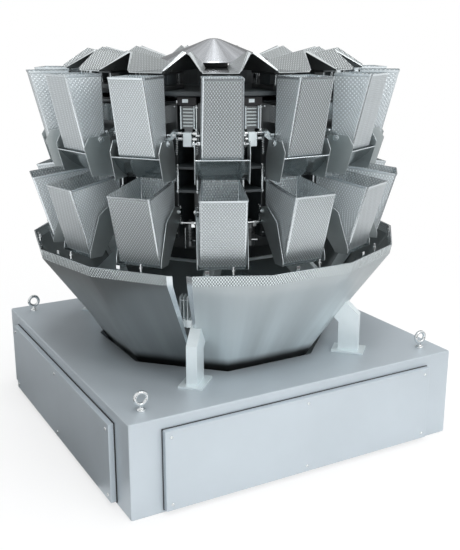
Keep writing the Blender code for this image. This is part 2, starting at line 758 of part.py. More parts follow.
def make_pool_heads(parts, cutters, steel):
    outline = [
        (POOL_FRONT_TOP, POOL_TOP),
        (POOL_BACK_TOP, POOL_TOP),
        (POOL_BACK_TOP, POOL_FRONT_FOOT_HEIGHT),
        (POOL_BACK_FOOT, POOL_BACK_FOOT_HEIGHT),
        (POOL_FRONT_FOOT, POOL_FRONT_FOOT_HEIGHT),
    ]
    body = hopper_mesh("pool_hopper", outline, pool_half_width, 2, POOL_PIVOT, parts, cutters, steel)
    place_ring("pool_hopper", body, (0, 0), parts)
    foot = POOL_BACK_FOOT_HEIGHT - GATE_GAP
    ear_top = POOL_PIVOT[1] + POOL_EAR_RISE
    ear = [
        (POOL_PIVOT[0] - POOL_EAR_BACK, ear_top),
        (POOL_FRONT_FOOT, ear_top),
        (POOL_FRONT_FOOT + POOL_EAR_NOSE, POOL_FRONT_FOOT_HEIGHT + POOL_EAR_NOSE_LIFT),
        (POOL_FRONT_FOOT - POOL_EAR_CORNER, foot),
        (POOL_BACK_FOOT + POOL_EAR_TRIM, foot),
        (POOL_BACK_FOOT, foot + POOL_EAR_TRIM),
        (POOL_BACK_FOOT, POOL_FRONT_FOOT_HEIGHT - GATE_GAP),
    ]
    front = POOL_FRONT_FOOT + POOL_FLAP_REACH
    line = [
        (POOL_BACK_FOOT, foot),
        (front, POOL_FRONT_FOOT_HEIGHT - GATE_GAP),
        (front + POOL_LIP_REACH, POOL_FRONT_FOOT_HEIGHT - GATE_GAP),
    ]
    inside = pool_half_width(*POOL_PIVOT) + EAR_STANDOFF
    flap = sheet_along(line, GATE_SHEET)
    mesh = gate_mesh("pool_gate", ear, flap, POOL_PIVOT, inside, True, cutters, parts, steel)
    place_ring("pool_gate", mesh, POOL_PIVOT, parts)


def make_weigh_heads(parts, cutters, steel):
    outline = [
        (WEIGH_FRONT_TOP, WEIGH_FRONT_TOP_HEIGHT),
        (WEIGH_BACK_TOP, WEIGH_BACK_TOP_HEIGHT),
        (WEIGH_BACK_TOP, WEIGH_BACK_FOOT_HEIGHT),
        (WEIGH_TIP_BACK, WEIGH_TIP_HEIGHT),
        (WEIGH_TIP_FRONT, WEIGH_TIP_HEIGHT),
    ]
    lip = WEIGH_TIP_FRONT + WEIGH_LIP_REACH
    shoulder = WEIGH_PIVOT[0] + WEIGH_EAR_SHOULDER
    ear_top = WEIGH_PIVOT[1] + WEIGH_EAR_RISE
    flap_back = WEIGH_BACK_FOOT_HEIGHT - WEIGH_FLAP_DROP
    ear = [
        (WEIGH_PIVOT[0] - WEIGH_EAR_BACK, ear_top),
        (shoulder, ear_top + WEIGH_EAR_SLOPE),
        (WEIGH_TIP_BACK, WEIGH_BACK_FOOT_HEIGHT - WEIGH_EAR_SLOPE),
        (lip, WEIGH_TIP_HEIGHT + WEIGH_EAR_SLOPE),
        (lip, WEIGH_TIP_HEIGHT - WEIGH_EAR_FOOT),
        (WEIGH_TIP_BACK - WEIGH_FLAP_DROP, WEIGH_TIP_HEIGHT - WEIGH_EAR_FOOT),
        (WEIGH_BACK_TOP - WEIGH_FLAP_INSET, flap_back),
    ]
    line = [
        (WEIGH_BACK_TOP + WEIGH_FLAP_INSET, flap_back),
        (WEIGH_TIP_BACK - GATE_GAP, WEIGH_TIP_HEIGHT - GATE_GAP),
        (lip, WEIGH_TIP_HEIGHT - GATE_GAP),
    ]
    inside = weigh_half_width(WEIGH_TIP_FRONT, 0) + WEIGH_EAR_STANDOFF
    flap = sheet_along(line, GATE_SHEET)
    gate = gate_mesh("weigh_gate", ear, flap, WEIGH_PIVOT, inside, False, cutters, parts, steel)
    body = hopper_mesh("weigh_hopper", outline, weigh_half_width, 3, WEIGH_PIVOT, parts, cutters, steel, gate)
    place_ring("weigh_hopper", body, (0, 0), parts)


def make_feeders(parts, cutters, guides, steel):
    """The top deck with a vibrating drive for each head, and the open troughs fixed on the drives."""
    profile = [
        (0, DECK_TOP),
        (DECK_RADIUS, DECK_TOP),
        (DECK_RADIUS, BODY_TOP + SEAT),
        (0, BODY_TOP + SEAT),
    ]
    deck = turned("feeder_deck", profile, HEADS, parts, steel)
    shape = bmesh.new()
    low = (-FEEDER_WIDTH / 2, -FEEDER_OUTER, DECK_TOP - FEEDER_SINK)
    high = (FEEDER_WIDTH / 2, -FEEDER_INNER, TROUGH_FLOOR - SHEET / 2)
    add_box(shape, low, high)
    drives = hide_cutter(add_object("feeder_drives", shape, cutters))
    ring_of(drives, HEADS, guides)
    boolean(deck, drives, "UNION")
    boolean(deck, feeder_troughs(cutters, guides), "UNION")


def feeder_troughs(cutters, guides):
    """Sheet troughs, open at the top and at the mouth, highest where they leave their neighbours."""
    sections = [
        (TROUGH_INNER, TROUGH_INNER_FLOOR_WIDTH, TROUGH_INNER_WIDTH, TROUGH_INNER_HEIGHT, TROUGH_END_LIP),
        (TROUGH_PEAK, TROUGH_FLOOR_WIDTH, TROUGH_PEAK_WIDTH, TROUGH_PEAK_HEIGHT, TROUGH_LIP),
        (TROUGH_MOUTH, TROUGH_FLOOR_WIDTH, TROUGH_MOUTH_WIDTH, TROUGH_MOUTH_HEIGHT, TROUGH_END_LIP),
    ]
    shape = bmesh.new()
    rows = []
    for reach, floor, width, height, lip in sections:
        half = [
            (floor / 2, 0.0),
            (width / 2, height),
            (width / 2 + lip, height - lip / 2),
        ]
        across = [(-x, z) for x, z in reversed(half)] + half
        rows.append([shape.verts.new((x, -reach, TROUGH_FLOOR + z)) for x, z in across])
    for near, far in zip(rows, rows[1:]):
        for index in range(len(near) - 1):
            shape.faces.new((near[index], near[index + 1], far[index + 1], far[index]))
    troughs = hide_cutter(add_object("feeder_troughs", shape, cutters))
    upward = sum(face.normal.z for face in troughs.data.polygons) > 0
    solidify(troughs, SHEET, -1 if upward else 1)
    ring_of(troughs, HEADS, guides)
    return troughs


def cone_height(radius):
    share = (radius - CONE_TIP_RADIUS) / (CONE_RADIUS - CONE_TIP_RADIUS)
    shoulder = CONE_TOP - CONE_TIP_ROUND
    return shoulder + (CONE_RIM_HEIGHT - shoulder) * share


def make_cone(parts, polished, dark):
    profile = [
        (0, CONE_TOP),
        (CONE_TIP_RADIUS * 0.6, CONE_TOP - CONE_TIP_ROUND * 0.36),
        (CONE_TIP_RADIUS, CONE_TOP - CONE_TIP_ROUND),
        (CONE_RADIUS, CONE_RIM_HEIGHT),
        (CONE_RADIUS, CONE_RIM_HEIGHT - CONE_SHEET),
        (HUB_RADIUS, cone_height(HUB_RADIUS) - CONE_SHEET),
        (0, cone_height(HUB_RADIUS) - CONE_SHEET),
    ]
    cone = turned("dispersion_cone", profile, CONE_STEPS, parts, polished)
    cone.data.shade_smooth()
    under_cone = cone_height(HUB_RADIUS) - CONE_SHEET - SEAT
    profile = [
        (0, under_cone),
        (CONE_SHAFT_RADIUS, under_cone),
        (CONE_SHAFT_RADIUS, CONE_DRIVE_TOP),
        (CONE_DRIVE_RADIUS, CONE_DRIVE_TOP),
        (CONE_DRIVE_RADIUS, DECK_TOP + SEAT),
        (0, DECK_TOP + SEAT),
    ]
    turned("cone_drive", profile, CONE_DRIVE_STEPS, parts, dark)


def main():
    clear_scene()
    parts = make_collection("multihead_weigher")
    cutters = make_collection("cutters")
    guides = make_collection("guides")
    steel = make_material("brushed_steel", (0.62, 0.66, 0.69), 0.35, 1.0)
    painted = make_material("cabinet_steel", (0.60, 0.66, 0.69), 0.45, 0.6)
    polished = make_material("polished_steel", (0.75, 0.78, 0.81), 0.2, 1.0)
    dark = make_material("dark_housing", (0.12, 0.14, 0.15), 0.5, 0.4)
    make_base(parts, cutters, painted)
    make_covers(parts, painted)
    notch = make_legs(parts, cutters, steel)
    make_chute(parts, notch, steel)
    make_funnel(parts, steel)
    make_centre_body(parts, cutters, guides, dark)
    make_pool_heads(parts, cutters, steel)
    make_weigh_heads(parts, cutters, steel)
    make_feeders(parts, cutters, guides, steel)
    make_cone(parts, polished, dark)


main()
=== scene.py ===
"""Looks of the multihead weigher: finishes, folded edges, pins, screws, light and camera.

Laid out as a Blender add-on and run as a script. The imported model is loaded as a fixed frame, in
metres with +Z up and -Y towards the front. Head number 1 faces the front and the others follow it
clockwise seen from above. One head is drawn in its own plane, outward along -Y, and repeated.
"""

import math

import bmesh
import bpy
from bpy.props import FloatProperty, FloatVectorProperty, IntProperty, PointerProperty
from bpy.types import NodeSocket, Operator, Panel, PropertyGroup
from mathutils import Matrix, Vector


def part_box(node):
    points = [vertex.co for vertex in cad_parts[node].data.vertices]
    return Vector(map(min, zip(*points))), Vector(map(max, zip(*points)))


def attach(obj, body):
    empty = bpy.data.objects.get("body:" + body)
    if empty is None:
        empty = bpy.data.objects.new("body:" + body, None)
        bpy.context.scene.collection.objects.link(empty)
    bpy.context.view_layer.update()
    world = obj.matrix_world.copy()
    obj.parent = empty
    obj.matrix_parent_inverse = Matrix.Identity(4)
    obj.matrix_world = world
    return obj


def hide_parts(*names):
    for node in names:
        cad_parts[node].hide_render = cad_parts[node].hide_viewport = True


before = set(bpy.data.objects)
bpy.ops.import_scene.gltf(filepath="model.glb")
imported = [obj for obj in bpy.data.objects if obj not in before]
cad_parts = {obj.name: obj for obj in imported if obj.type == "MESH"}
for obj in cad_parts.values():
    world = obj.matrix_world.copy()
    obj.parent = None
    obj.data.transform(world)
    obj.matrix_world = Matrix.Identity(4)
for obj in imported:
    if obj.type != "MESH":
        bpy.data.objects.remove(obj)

bl_info = {
    "name": "Multihead Weigher Looks",
    "version": (1, 0, 0),
    "blender": (4, 5, 0),
    "location": "View3D > Sidebar > Weigher",
    "description": "Dresses a packed multihead weigher with sheet detail, finishes and a plain studio",
    "category": "Object",
}

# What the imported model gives
HEADS = sum(name.startswith("pool_hopper_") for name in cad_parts)
HEAD_STEP = 2 * math.pi / HEADS
SEAT = 0.0003
CABINET_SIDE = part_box("base_cabinet")[1].x * 2
CABINET_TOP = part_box("body_stand")[0].z - SEAT
COVER_LOW, COVER_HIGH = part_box("cover_front")
POOL_LOW, POOL_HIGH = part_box("pool_hopper_01")
WEIGH_REACH = -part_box("weigh_hopper_01")[0].y
RIM_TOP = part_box("chute_back")[1].z
CONE_LOW, CONE_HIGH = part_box("dispersion_cone")
DRUM_FOOT, DRUM_TOP = (corner.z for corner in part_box("centre_body"))

# Cabinet
WELL_SIDES = 8
WELL_RADIUS = 0.405
OUTLET_RADIUS = 0.175
LEDGE_HEIGHT = 0.05
EYE_INSET = 0.07
EYE_RADIUS = 0.018
EYE_WIRE = 0.0055
EYE_SHANK = 0.022

# Collecting chute
RIM_FLARE = 0.006
RIM_RADIUS = -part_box("chute_front")[0].y / math.cos(HEAD_STEP / 2) - RIM_FLARE
RIM_BAND = 0.03
CHUTE_FOOT = CABINET_TOP - 0.033
CHUTE_FOOT_RADIUS = WELL_RADIUS - 0.035
CHUTE_SEGMENTS = 3
CHUTE_SPAN = 2 * math.pi / CHUTE_SEGMENTS
CHUTE_GAP_CENTRE = math.radians(37.5)
CHUTE_GAP_TOP = math.radians(3.4)
CHUTE_GAP_FOOT = math.radians(0.8)
CHUTE_STEP = math.radians(2.2)
CHUTE_SHEET = 0.0024
CHUTE_LEVELS = 8
# Levels of the chute's painted shade: nearly black at and below the first, fading out by the second, and
# painted darker again from there up to the rim
CHUTE_PAINTED_SHADE_LEVELS = (CABINET_TOP + 0.012, CABINET_TOP + 0.052)
# The folded end flange, as (share of the gap at the rim, share at the foot, inset from the outside)
CHUTE_FLANGE = ((1.0, 1.0, 0.0), (0.55, 0.7, 0.007), (0.58, 0.75, 0.009), (1.0, 1.0, 0.002))
BRACKET_AZIMUTH = math.radians(39.6)

# Weigh hoppers, as (distance from the axis, height)
WEIGH_FRONT_TOP = (WEIGH_REACH, RIM_TOP + 0.214)
WEIGH_BACK_TOP = (0.420, RIM_TOP + 0.242)
WEIGH_BACK_FOOT = (0.420, RIM_TOP + 0.140)
WEIGH_TIP_BACK = (0.515, RIM_TOP + 0.012)
WEIGH_TIP_FRONT = (0.548, RIM_TOP + 0.012)
WEIGH_BACK_HALF = 0.058
WEIGH_FRONT_HALF = 0.0685
WEIGH_PIVOT = (0.430, WEIGH_BACK_FOOT[1] + 0.006)

# Pool hoppers
POOL_TOP = POOL_HIGH.z
POOL_FRONT_TOP = (-POOL_LOW.y, POOL_TOP)
POOL_BACK_TOP = (0.470, POOL_TOP)
POOL_BACK_BEND = (0.470, POOL_TOP - 0.216)
POOL_BACK_FOOT = (-POOL_HIGH.y, POOL_LOW.z)
POOL_FRONT_FOOT = (0.545, POOL_TOP - 0.216)
POOL_TOP_HALF = 0.0565
POOL_FOOT_HALF = 0.0605
POOL_WALL_HALF = 0.0597
POOL_PIVOT = (0.500, POOL_TOP - 0.184)

# Gates
GATE_HALF = 0.0748
GATE_SHEET = 0.0016
GATE_GAP = 0.0045
GATE_SAG = 0.007
GATE_STEPS = 8

# Drum and drive units
DRUM_RADIUS = 0.30
DRIVE_FACE = 0.41
DRIVE_WIDTH = 0.13
DRIVE_FOOT = DRUM_FOOT + 0.10
LINK_REACH = 0.425

# Feeders: each section of a trough is (reach, half of its floor, half of its top, height, lip)
TROUGH_FLOOR = POOL_TOP + 0.008
TROUGH_SHEET = 0.0016
TROUGH_INNER = CONE_HIGH.x + 0.003
TROUGH_GAP = 0.003
TROUGH_PEAK = 0.40
TROUGH_TOP_HALF = TROUGH_PEAK * math.tan(HEAD_STEP / 2) - 0.010 - TROUGH_GAP
TROUGH_INNER_HALF = TROUGH_INNER * math.tan(HEAD_STEP / 2) - 0.002 - TROUGH_GAP
TROUGH_SECTIONS = (
    (TROUGH_INNER, TROUGH_INNER_HALF - 0.006, TROUGH_INNER_HALF, 0.013, 0.002),
    (TROUGH_PEAK, 0.050, TROUGH_TOP_HALF, 0.056, 0.010),
    (POOL_BACK_TOP[0] + 0.010, 0.050, 0.054, 0.006, 0.002),
)
TROUGH_FINISH = (1, 0, 2, 0, 1)
TROUGH_EDGE_AREA = 0.0005
DECK_TOP = TROUGH_FLOOR - 0.054
DECK_RADIUS = POOL_BACK_TOP[0] - 0.025

# Sheet coordinates: their name, and the dimples' pitch across over their pitch down the sheet
SHEET_UV = "sheet"
DIMPLE_STRETCH = 0.74

# What the chute's outside adds to plain sheet, with painted shade: darker towards the rim and nearly black
# near the foot
CHUTE_LOOK = {
    "darkest": 0.92, "streaks": (6.0, 0.3, 1.0), "streak_share": 0.68, "painted_shade_levels": CHUTE_PAINTED_SHADE_LEVELS,
}
# Sheet finishes: (name, its colour, share of that colour, roughness, metallic, the rest)
FINISHES = (
    ("blasted cabinet sheet", "cabinet", 1.0, 0.45, 0.45,
     {"grain": (900.0, 900.0, 900.0), "grain_depth": 0.00003, "spread": 0.08, "patches": 2.5,
      "darkest": 0.88}),
    ("embossed hopper sheet", "hopper", 1.0, 0.34, 0.93, {"spread": 0.04, "darkest": 0.70, "dimples": True}),
    # Lighter copies of the hopper sheet for the side panels and the insides: painted light where these faces
    # stand in shade
    ("embossed hopper side", "hopper", 1.1, 0.36, 0.7, {"spread": 0.06, "darkest": 0.85, "dimples": True}),
    ("embossed sheet inside", "hopper", 1.2, 0.26, 0.6, {"darkest": 0.8, "dimples": True}),
    ("smooth hopper bends", "hopper", 1.2, 0.24, 0.9, {"darkest": 0.85}),
    ("dark gate sheet", "gate", 1.0, 0.16, 0.95, {"grain": (500.0, 12.0, 500.0), "darkest": 0.75}),
    ("brushed ear sheet", "ear", 1.0, 0.30, 0.9,
     {"grain": (500.0, 8.0, 600.0), "grain_depth": 0.000004, "spread": 0.06, "darkest": 0.75}),
    ("satin chute sheet", "chute", 1.0, 0.33, 0.6, CHUTE_LOOK),
    # A darker copy of the chute sheet for the left segment, as painted shade
    ("satin chute sheet in shade", "chute", 0.49, 0.33, 0.7, CHUTE_LOOK),
    # A darker copy of the chute sheet for the segments' inner faces, as painted shade
    ("satin chute inside", "chute", 0.42, 0.30, 0.9, {"darkest": 0.8}),
    ("satin funnel sheet", "chute", 0.95, 0.34, 0.9, {"darkest": 0.68}),
    ("embossed rim sheet", "chute", 0.98, 0.28, 0.6, {"darkest": 0.28, "dimples": True}),
    ("satin stand tube", "chute", 1.15, 0.36, 0.5, {"darkest": 0.85}),
    ("embossed trough sheet", "trough", 1.0, 0.30, 0.9, {"darkest": 0.5, "dimples": True}),
    ("folded trough lip", "trough", 1.25, 0.30, 0.8, {"darkest": 0.85}),
    # Dark copies of the trough sheet: the floor painted dark as a reflection, the underside painted dark as
    # shade
    ("smooth trough floor", "trough", 0.4, 0.14, 1.0, {"darkest": 0.8}),
    ("smooth trough underside", "trough", 0.45, 0.30, 0.9, {"darkest": 0.75}),
    ("polished cone sheet", "cone", 1.0, 0.20, 1.0,
     {"grain": (160.0, 160.0, 160.0), "darkest": 0.9, "streaks": (14.0, 0.6, 1.0), "streak_share": 0.5}),
    ("bright pin steel", "bright", 1.0, 0.18, 1.0, {"grain": (300.0, 300.0, 300.0), "darkest": 0.9}),
    # Pale sheet of the light blocks between the heads, also used on the weigh hoppers' back lip as a painted
    # highlight
    ("light fitting sheet", "chute", 1.15, 0.34, 0.3, {"darkest": 0.85}),
)
HOUSING_STEEL_LIFT = 0.12

# Camera, set to the photograph's view
CAMERA_PLACE = (-1.358, -2.543, 1.328)
CAMERA_TILT = math.radians(90 - 16.20)
CAMERA_TURN = math.radians(-29.16)
CAMERA_SENSOR = 36.0

# Lamps: (name, place, aim, size, power in watts, whether metal mirrors it)
LAMPS = (
    ("key_light", (0.9, -3.3, 2.6), (0, 0, 0.5), 1.8, 30.0, True),
    ("side_light", (-0.75, -1.6, 3.2), (-0.4, -0.3, 0.4), 1.0, 26.0, False),
    ("front_light", (-0.7, -3.3, 0.4), (0, 0, 0.45), 1.4, 18.0, False),
    ("top_light", (0.2, 0.2, 3.4), (0, 0, 0.6), 2.0, 62.0, True),
)
WORLD_TOWARD = (0.72, -0.42, 0.55)
WORLD_LEVEL = 0.46
WORLD_SWING = 0.62
FLOOR_HALF = 30.0

# Reflection cards on the floor: (first and last azimuth in degrees, inner and outer reach, brightness)
FLOOR_CARDS = (
    (60, 95, 0.60, 0.95, 0.12),
    (95, 125, 0.60, 0.95, 0.25),
    (125, 200, 0.60, 0.95, 0.15),
    (-150, -60, 0.95, 1.75, 0.66),
    (-60, 50, 0.95, 1.75, 1.15),
    (50, 110, 0.95, 1.75, 0.15),
    (110, 210, 0.95, 1.75, 0.30),
    (-150, -58, 1.75, 4.5, 0.85),
    (-58, 42, 1.75, 4.5, 0.12),
    (42, 122, 1.75, 4.5, 1.3),
    (122, 138, 1.75, 4.5, 0.50),
    (138, 210, 1.75, 4.5, 1.10),
)
CARD_STEPS = 24
CARD_LEVEL = 0.002
# Upright reflection panels: (name, half width, lowest and highest level, azimuth in degrees, brightness)
FLAGS = (
    ("flag_left", 0.9, 0.0, 1.2, 95, 0.45),
    ("flag_back", 2.2, 0.3, 3.0, 205, 0.30),
    ("flag_right", 0.9, 1.4, 3.4, -112, 0.20),
)
FLAG_REACH = 2.9
FLAG_HALF = 0.01


def length_property(name, description, default, low, high):
    return FloatProperty(
        name=name, description=description, default=default, min=low, max=high, unit="LENGTH"
    )


class WeigherSizes(PropertyGroup):
    """Sizes of the folded edges, patterns and small parts, in metres."""

    bend_radius: length_property(
        "Bend radius", "Outer radius of the bends in the hoppers' upright edges", 0.007, 0.002, 0.015
    )
    hopper_sheet: length_property("Hopper sheet", "Thickness of the hoppers' sheet", 0.0016, 0.0008, 0.003)
    hem: length_property("Hem", "Height of the folded hem along a hopper's rim", 0.006, 0.002, 0.012)
    dimple_pitch: length_property(
        "Dimple pitch", "Distance between two dimples of a row in the embossed sheet", 0.0085, 0.004, 0.02
    )
    dimple_depth: length_property(
        "Dimple depth", "Depth of the dimples in the embossed sheet", 0.0007, 0.0, 0.003
    )
    screw_radius: length_property(
        "Screw radius", "Radius of the button heads that hold the cabinet's covers", 0.0055, 0.002, 0.012
    )
    rod_radius: length_property(
        "Rod radius", "Radius of the bright link rods between the heads", 0.0045, 0.002, 0.008
    )
    bend_steps: IntProperty(
        name="Bend steps", description="Faces round each bend of the sheet", default=4, min=2, max=12
    )
    lens: FloatProperty(
        name="Lens",
        description="Focal length of the camera, in millimetres",
        default=56.1,
        min=20.0,
        max=200.0,
        unit="CAMERA",
    )


def colour_property(name, description, default):
    return FloatVectorProperty(
        name=name, description=description, default=default, subtype="COLOR", min=0.0, max=1.0
    )


class WeigherColours(PropertyGroup):
    """Base colours of the finishes."""

    cabinet: colour_property("Cabinet", "Blasted sheet of the cabinet and its covers", (0.53, 0.59, 0.635))
    hopper: colour_property("Hoppers", "Embossed sheet of the hoppers", (0.61, 0.66, 0.685))
    gate: colour_property("Gates", "Smooth sheet of the gates under the hoppers", (0.42, 0.47, 0.48))
    ear: colour_property("Gate ears", "Brushed sheet of the gates' ears", (0.54, 0.59, 0.60))
    chute: colour_property("Chute", "Satin sheet of the chute and the stand", (0.72, 0.795, 0.82))
    trough: colour_property("Troughs", "Embossed sheet of the feeder troughs", (0.60, 0.64, 0.65))
    cone: colour_property("Cone", "Polished sheet of the dispersion cone", (0.70, 0.73, 0.77))
    bright: colour_property("Bright parts", "Pins, rods, screws and lifting eyes", (0.76, 0.79, 0.80))
    housing: colour_property("Housings", "Dark housings of the drum and the drives", (0.045, 0.055, 0.06))
    rubber: colour_property("Rubber", "Rubber mounts and plastic caps", (0.02, 0.02, 0.022))
    floor: colour_property("Floor", "Pale studio floor", (0.90, 0.91, 0.92))


def sizes():
    return bpy.context.scene.weigher_sizes


def colours():
    return bpy.context.scene.weigher_colours


# Shader building


def connect(tree, value, socket):
    """Links a value given as a socket, and sets any other."""
    if isinstance(value, NodeSocket):
        tree.links.new(value, socket)
    else:
        socket.default_value = value


def add_node(tree, kind, inputs=None, **settings):
    node = tree.nodes.new(kind)
    for key, value in settings.items():
        setattr(node, key, value)
    for key, value in (inputs or {}).items():
        connect(tree, value, node.inputs[key])
    return node


def use_group(tree, name, inputs):
    return add_node(tree, "ShaderNodeGroup", inputs, node_tree=bpy.data.node_groups[name]).outputs


def calculate(tree, operation, first, second=0.0, third=0.0, clamp=False):
    inputs = {0: first, 1: second, 2: third}
    return add_node(tree, "ShaderNodeMath", inputs, operation=operation, use_clamp=clamp).outputs[0]


def ramp(tree, value, low, high, to_low=0.0, to_high=1.0, soft=False):
    """Takes a value between low and high to between to_low and to_high, and holds it there."""
    inputs = {"Value": value, "From Min": low, "From Max": high, "To Min": to_low, "To Max": to_high}
    kind = "SMOOTHSTEP" if soft else "LINEAR"
    return add_node(tree, "ShaderNodeMapRange", inputs, interpolation_type=kind).outputs[0]


def noise(tree, vector, scale, detail, roughness=0.5):
    inputs = {"Vector": vector, "Scale": scale, "Detail": detail, "Roughness": roughness}
    return add_node(tree, "ShaderNodeTexNoise", inputs).outputs[0]


def blend(tree, mask, first, second):
    """Mixes two colours, each a socket or three numbers, by a mask."""
    mix = add_node(tree, "ShaderNodeMix", {"Factor": mask}, data_type="RGBA")
    for place, value in ((6, first), (7, second)):
        connect(tree, value if isinstance(value, NodeSocket) else (*value, 1.0), mix.inputs[place])
    return mix.outputs[2]


def scaled(colour, share):
    return tuple(min(value * share, 1.0) for value in colour)


def new_group(name, inputs, outputs):
    """A shader node group with named sockets. Returns it, its given values and its result's sockets."""
    group = bpy.data.node_groups.new(name, "ShaderNodeTree")
    for label, default in inputs.items():
        kind = "NodeSocketFloat" if isinstance(default, float) else "NodeSocketVector"
        socket = group.interface.new_socket(label, in_out="INPUT", socket_type=kind)
        if default is not None:
            socket.default_value = default
    for label in outputs:
        group.interface.new_socket(label, in_out="OUTPUT", socket_type="NodeSocketFloat")
    return group, group.nodes.new("NodeGroupInput").outputs, group.nodes.new("NodeGroupOutput").inputs


def build_dimples_group():
    """Staggered round dimples, on coordinates in metres, with masks for painted shade in the hollows and a
    painted highlight on the tops.
    """
    group, given, result = new_group(
        "Embossed dimples", {"Vector": None, "Pitch": 0.0085}, ("Height", "Hollows", "Tops")
    )
    parts = add_node(group, "ShaderNodeSeparateXYZ", {0: given["Vector"]}).outputs
    turns = calculate(group, "DIVIDE", 2 * math.pi, given["Pitch"])
    across = calculate(group, "COSINE", calculate(group, "MULTIPLY", parts["X"], turns))
    drop = calculate(group, "MULTIPLY", parts["Y"], DIMPLE_STRETCH)
    along = calculate(group, "COSINE", calculate(group, "MULTIPLY", drop, turns))
    wave = calculate(group, "MULTIPLY", across, along)
    group.links.new(ramp(group, wave, 0.15, 0.95, soft=True), result["Height"])
    group.links.new(ramp(group, wave, 0.25, -0.25), result["Hollows"])
    group.links.new(ramp(group, wave, 0.35, 0.8), result["Tops"])


def build_grain_group():
    """Long fine scratches along one axis, as brushed or rolled sheet has."""
    group, given, result = new_group(
        "Brushed grain", {"Vector": None, "Fineness": (400.0, 400.0, 12.0)}, ("Value",)
    )
    inputs = {0: given["Vector"], 1: given["Fineness"]}
    stretched = add_node(group, "ShaderNodeVectorMath", inputs, operation="MULTIPLY").outputs[0]
    group.links.new(noise(group, stretched, 1.0, 3.0, 0.6), result["Value"])


def build_marks_group():
    """Soft patches and small spots from handling and washing."""
    group, given, result = new_group("Handling marks", {"Vector": None, "Scale": 6.0}, ("Value", "Spots"))
    patches = noise(group, given["Vector"], given["Scale"], 4.0, 0.55)
    group.links.new(ramp(group, patches, 0.3, 0.7), result["Value"])
    specks = noise(group, given["Vector"], calculate(group, "MULTIPLY", given["Scale"], 14.0), 2.0)
    group.links.new(ramp(group, specks, 0.62, 0.72), result["Spots"])


def new_material(name):
    """A node material. Returns it, its node tree and its Principled shader."""
    material = bpy.data.materials.new(name)
    material.use_nodes = True
    return material, material.node_tree, material.node_tree.nodes["Principled BSDF"]


def finish_shader(tree, shader, tint, rough, height):
    """Links a surface's colour, roughness and height to its shader."""
    tree.links.new(tint, shader.inputs["Base Color"])
    tree.links.new(rough, shader.inputs["Roughness"])
    bump = add_node(tree, "ShaderNodeBump", {"Height": height, "Distance": 1.0, "Strength": 1.0})
    tree.links.new(bump.outputs[0], shader.inputs["Normal"])


def metal(
    name, colour, roughness, metallic=1.0, grain=(500.0, 500.0, 10.0), grain_depth=0.00002, spread=0.10,
    patches=5.0, darkest=0.82, dimples=False, streaks=None, streak_share=0.8, painted_shade_levels=None,
):
    """A sheet metal finish.

    grain is how fine the scratches are along X, Y and Z, and spread how far the roughness moves.
    dimples and streaks follow the piece's own sheet coordinates, in metres. The last argument is
    the lowest and the highest level of a zone near the foot that is painted nearly black as the
    well's shadow and dark reflection; above it the sheet is painted slowly darker towards the rim,
    as a painted reflection.
    """
    tree, shader = new_material(name)[1:]
    shader.inputs["Metallic"].default_value = metallic
    place = add_node(tree, "ShaderNodeTexCoord").outputs["Object"]
    sheet = add_node(tree, "ShaderNodeUVMap", uv_map=SHEET_UV).outputs[0] if dimples or streaks else None
    scratches = use_group(tree, "Brushed grain", {"Vector": place, "Fineness": grain})["Value"]
    marks = use_group(tree, "Handling marks", {"Vector": place, "Scale": patches})
    worn = calculate(tree, "MULTIPLY_ADD", scratches, 0.35, calculate(tree, "MULTIPLY", marks["Value"], 0.65))
    height = calculate(tree, "MULTIPLY", scratches, grain_depth)
    if dimples:
        pressed = use_group(tree, "Embossed dimples", {"Vector": sheet, "Pitch": sizes().dimple_pitch})
        height = calculate(tree, "MULTIPLY_ADD", pressed["Height"], sizes().dimple_depth, height)
        # Painted light: the dimples' hollows are painted darker as shade, down to the darkest share, and
        # their tops lighter as a highlight
        tint = blend(tree, calculate(tree, "MULTIPLY", worn, 0.5), colour, scaled(colour, 0.8))
        tint = blend(tree, pressed["Hollows"], tint, scaled(colour, darkest))
        tint = blend(tree, pressed["Tops"], tint, scaled(colour, 1.3))
    else:
        tint = blend(tree, worn, colour, scaled(colour, darkest))
    if streaks:
        soft = use_group(tree, "Brushed grain", {"Vector": sheet, "Fineness": streaks})["Value"]
        tint = blend(tree, ramp(tree, soft, 0.36, 0.64), tint, scaled(colour, streak_share))
    # Painted shade and reflection: darker from the upper level towards the rim, and nearly black near the
    # foot, where the well's shadow and dark reflection fall
    if painted_shade_levels:
        level = add_node(tree, "ShaderNodeSeparateXYZ", {0: place}).outputs["Z"]
        tint = blend(tree, ramp(tree, level, painted_shade_levels[1], RIM_TOP), tint, scaled(colour, 0.52))
        near_foot = ramp(tree, level, painted_shade_levels[1], painted_shade_levels[0], soft=True)
        tint = blend(tree, near_foot, tint, scaled(colour, 0.05))
    rough = calculate(tree, "MULTIPLY_ADD", worn, spread, roughness - spread / 2)
    rough = calculate(tree, "MULTIPLY_ADD", marks["Spots"], 0.02, rough, clamp=True)
    finish_shader(tree, shader, tint, rough, height)


def painted(name, colour, roughness):
    """A dark satin coat with fine orange peel."""
    tree, shader = new_material(name)[1:]
    place = add_node(tree, "ShaderNodeTexCoord").outputs["Object"]
    marks = use_group(tree, "Handling marks", {"Vector": place, "Scale": 9.0})["Value"]
    tint = blend(tree, marks, colour, scaled(colour, 0.6))
    rough = calculate(tree, "MULTIPLY_ADD", marks, 0.15, roughness)
    peel = calculate(tree, "MULTIPLY", noise(tree, place, 900.0, 1.0), 0.00005)
    finish_shader(tree, shader, tint, rough, peel)


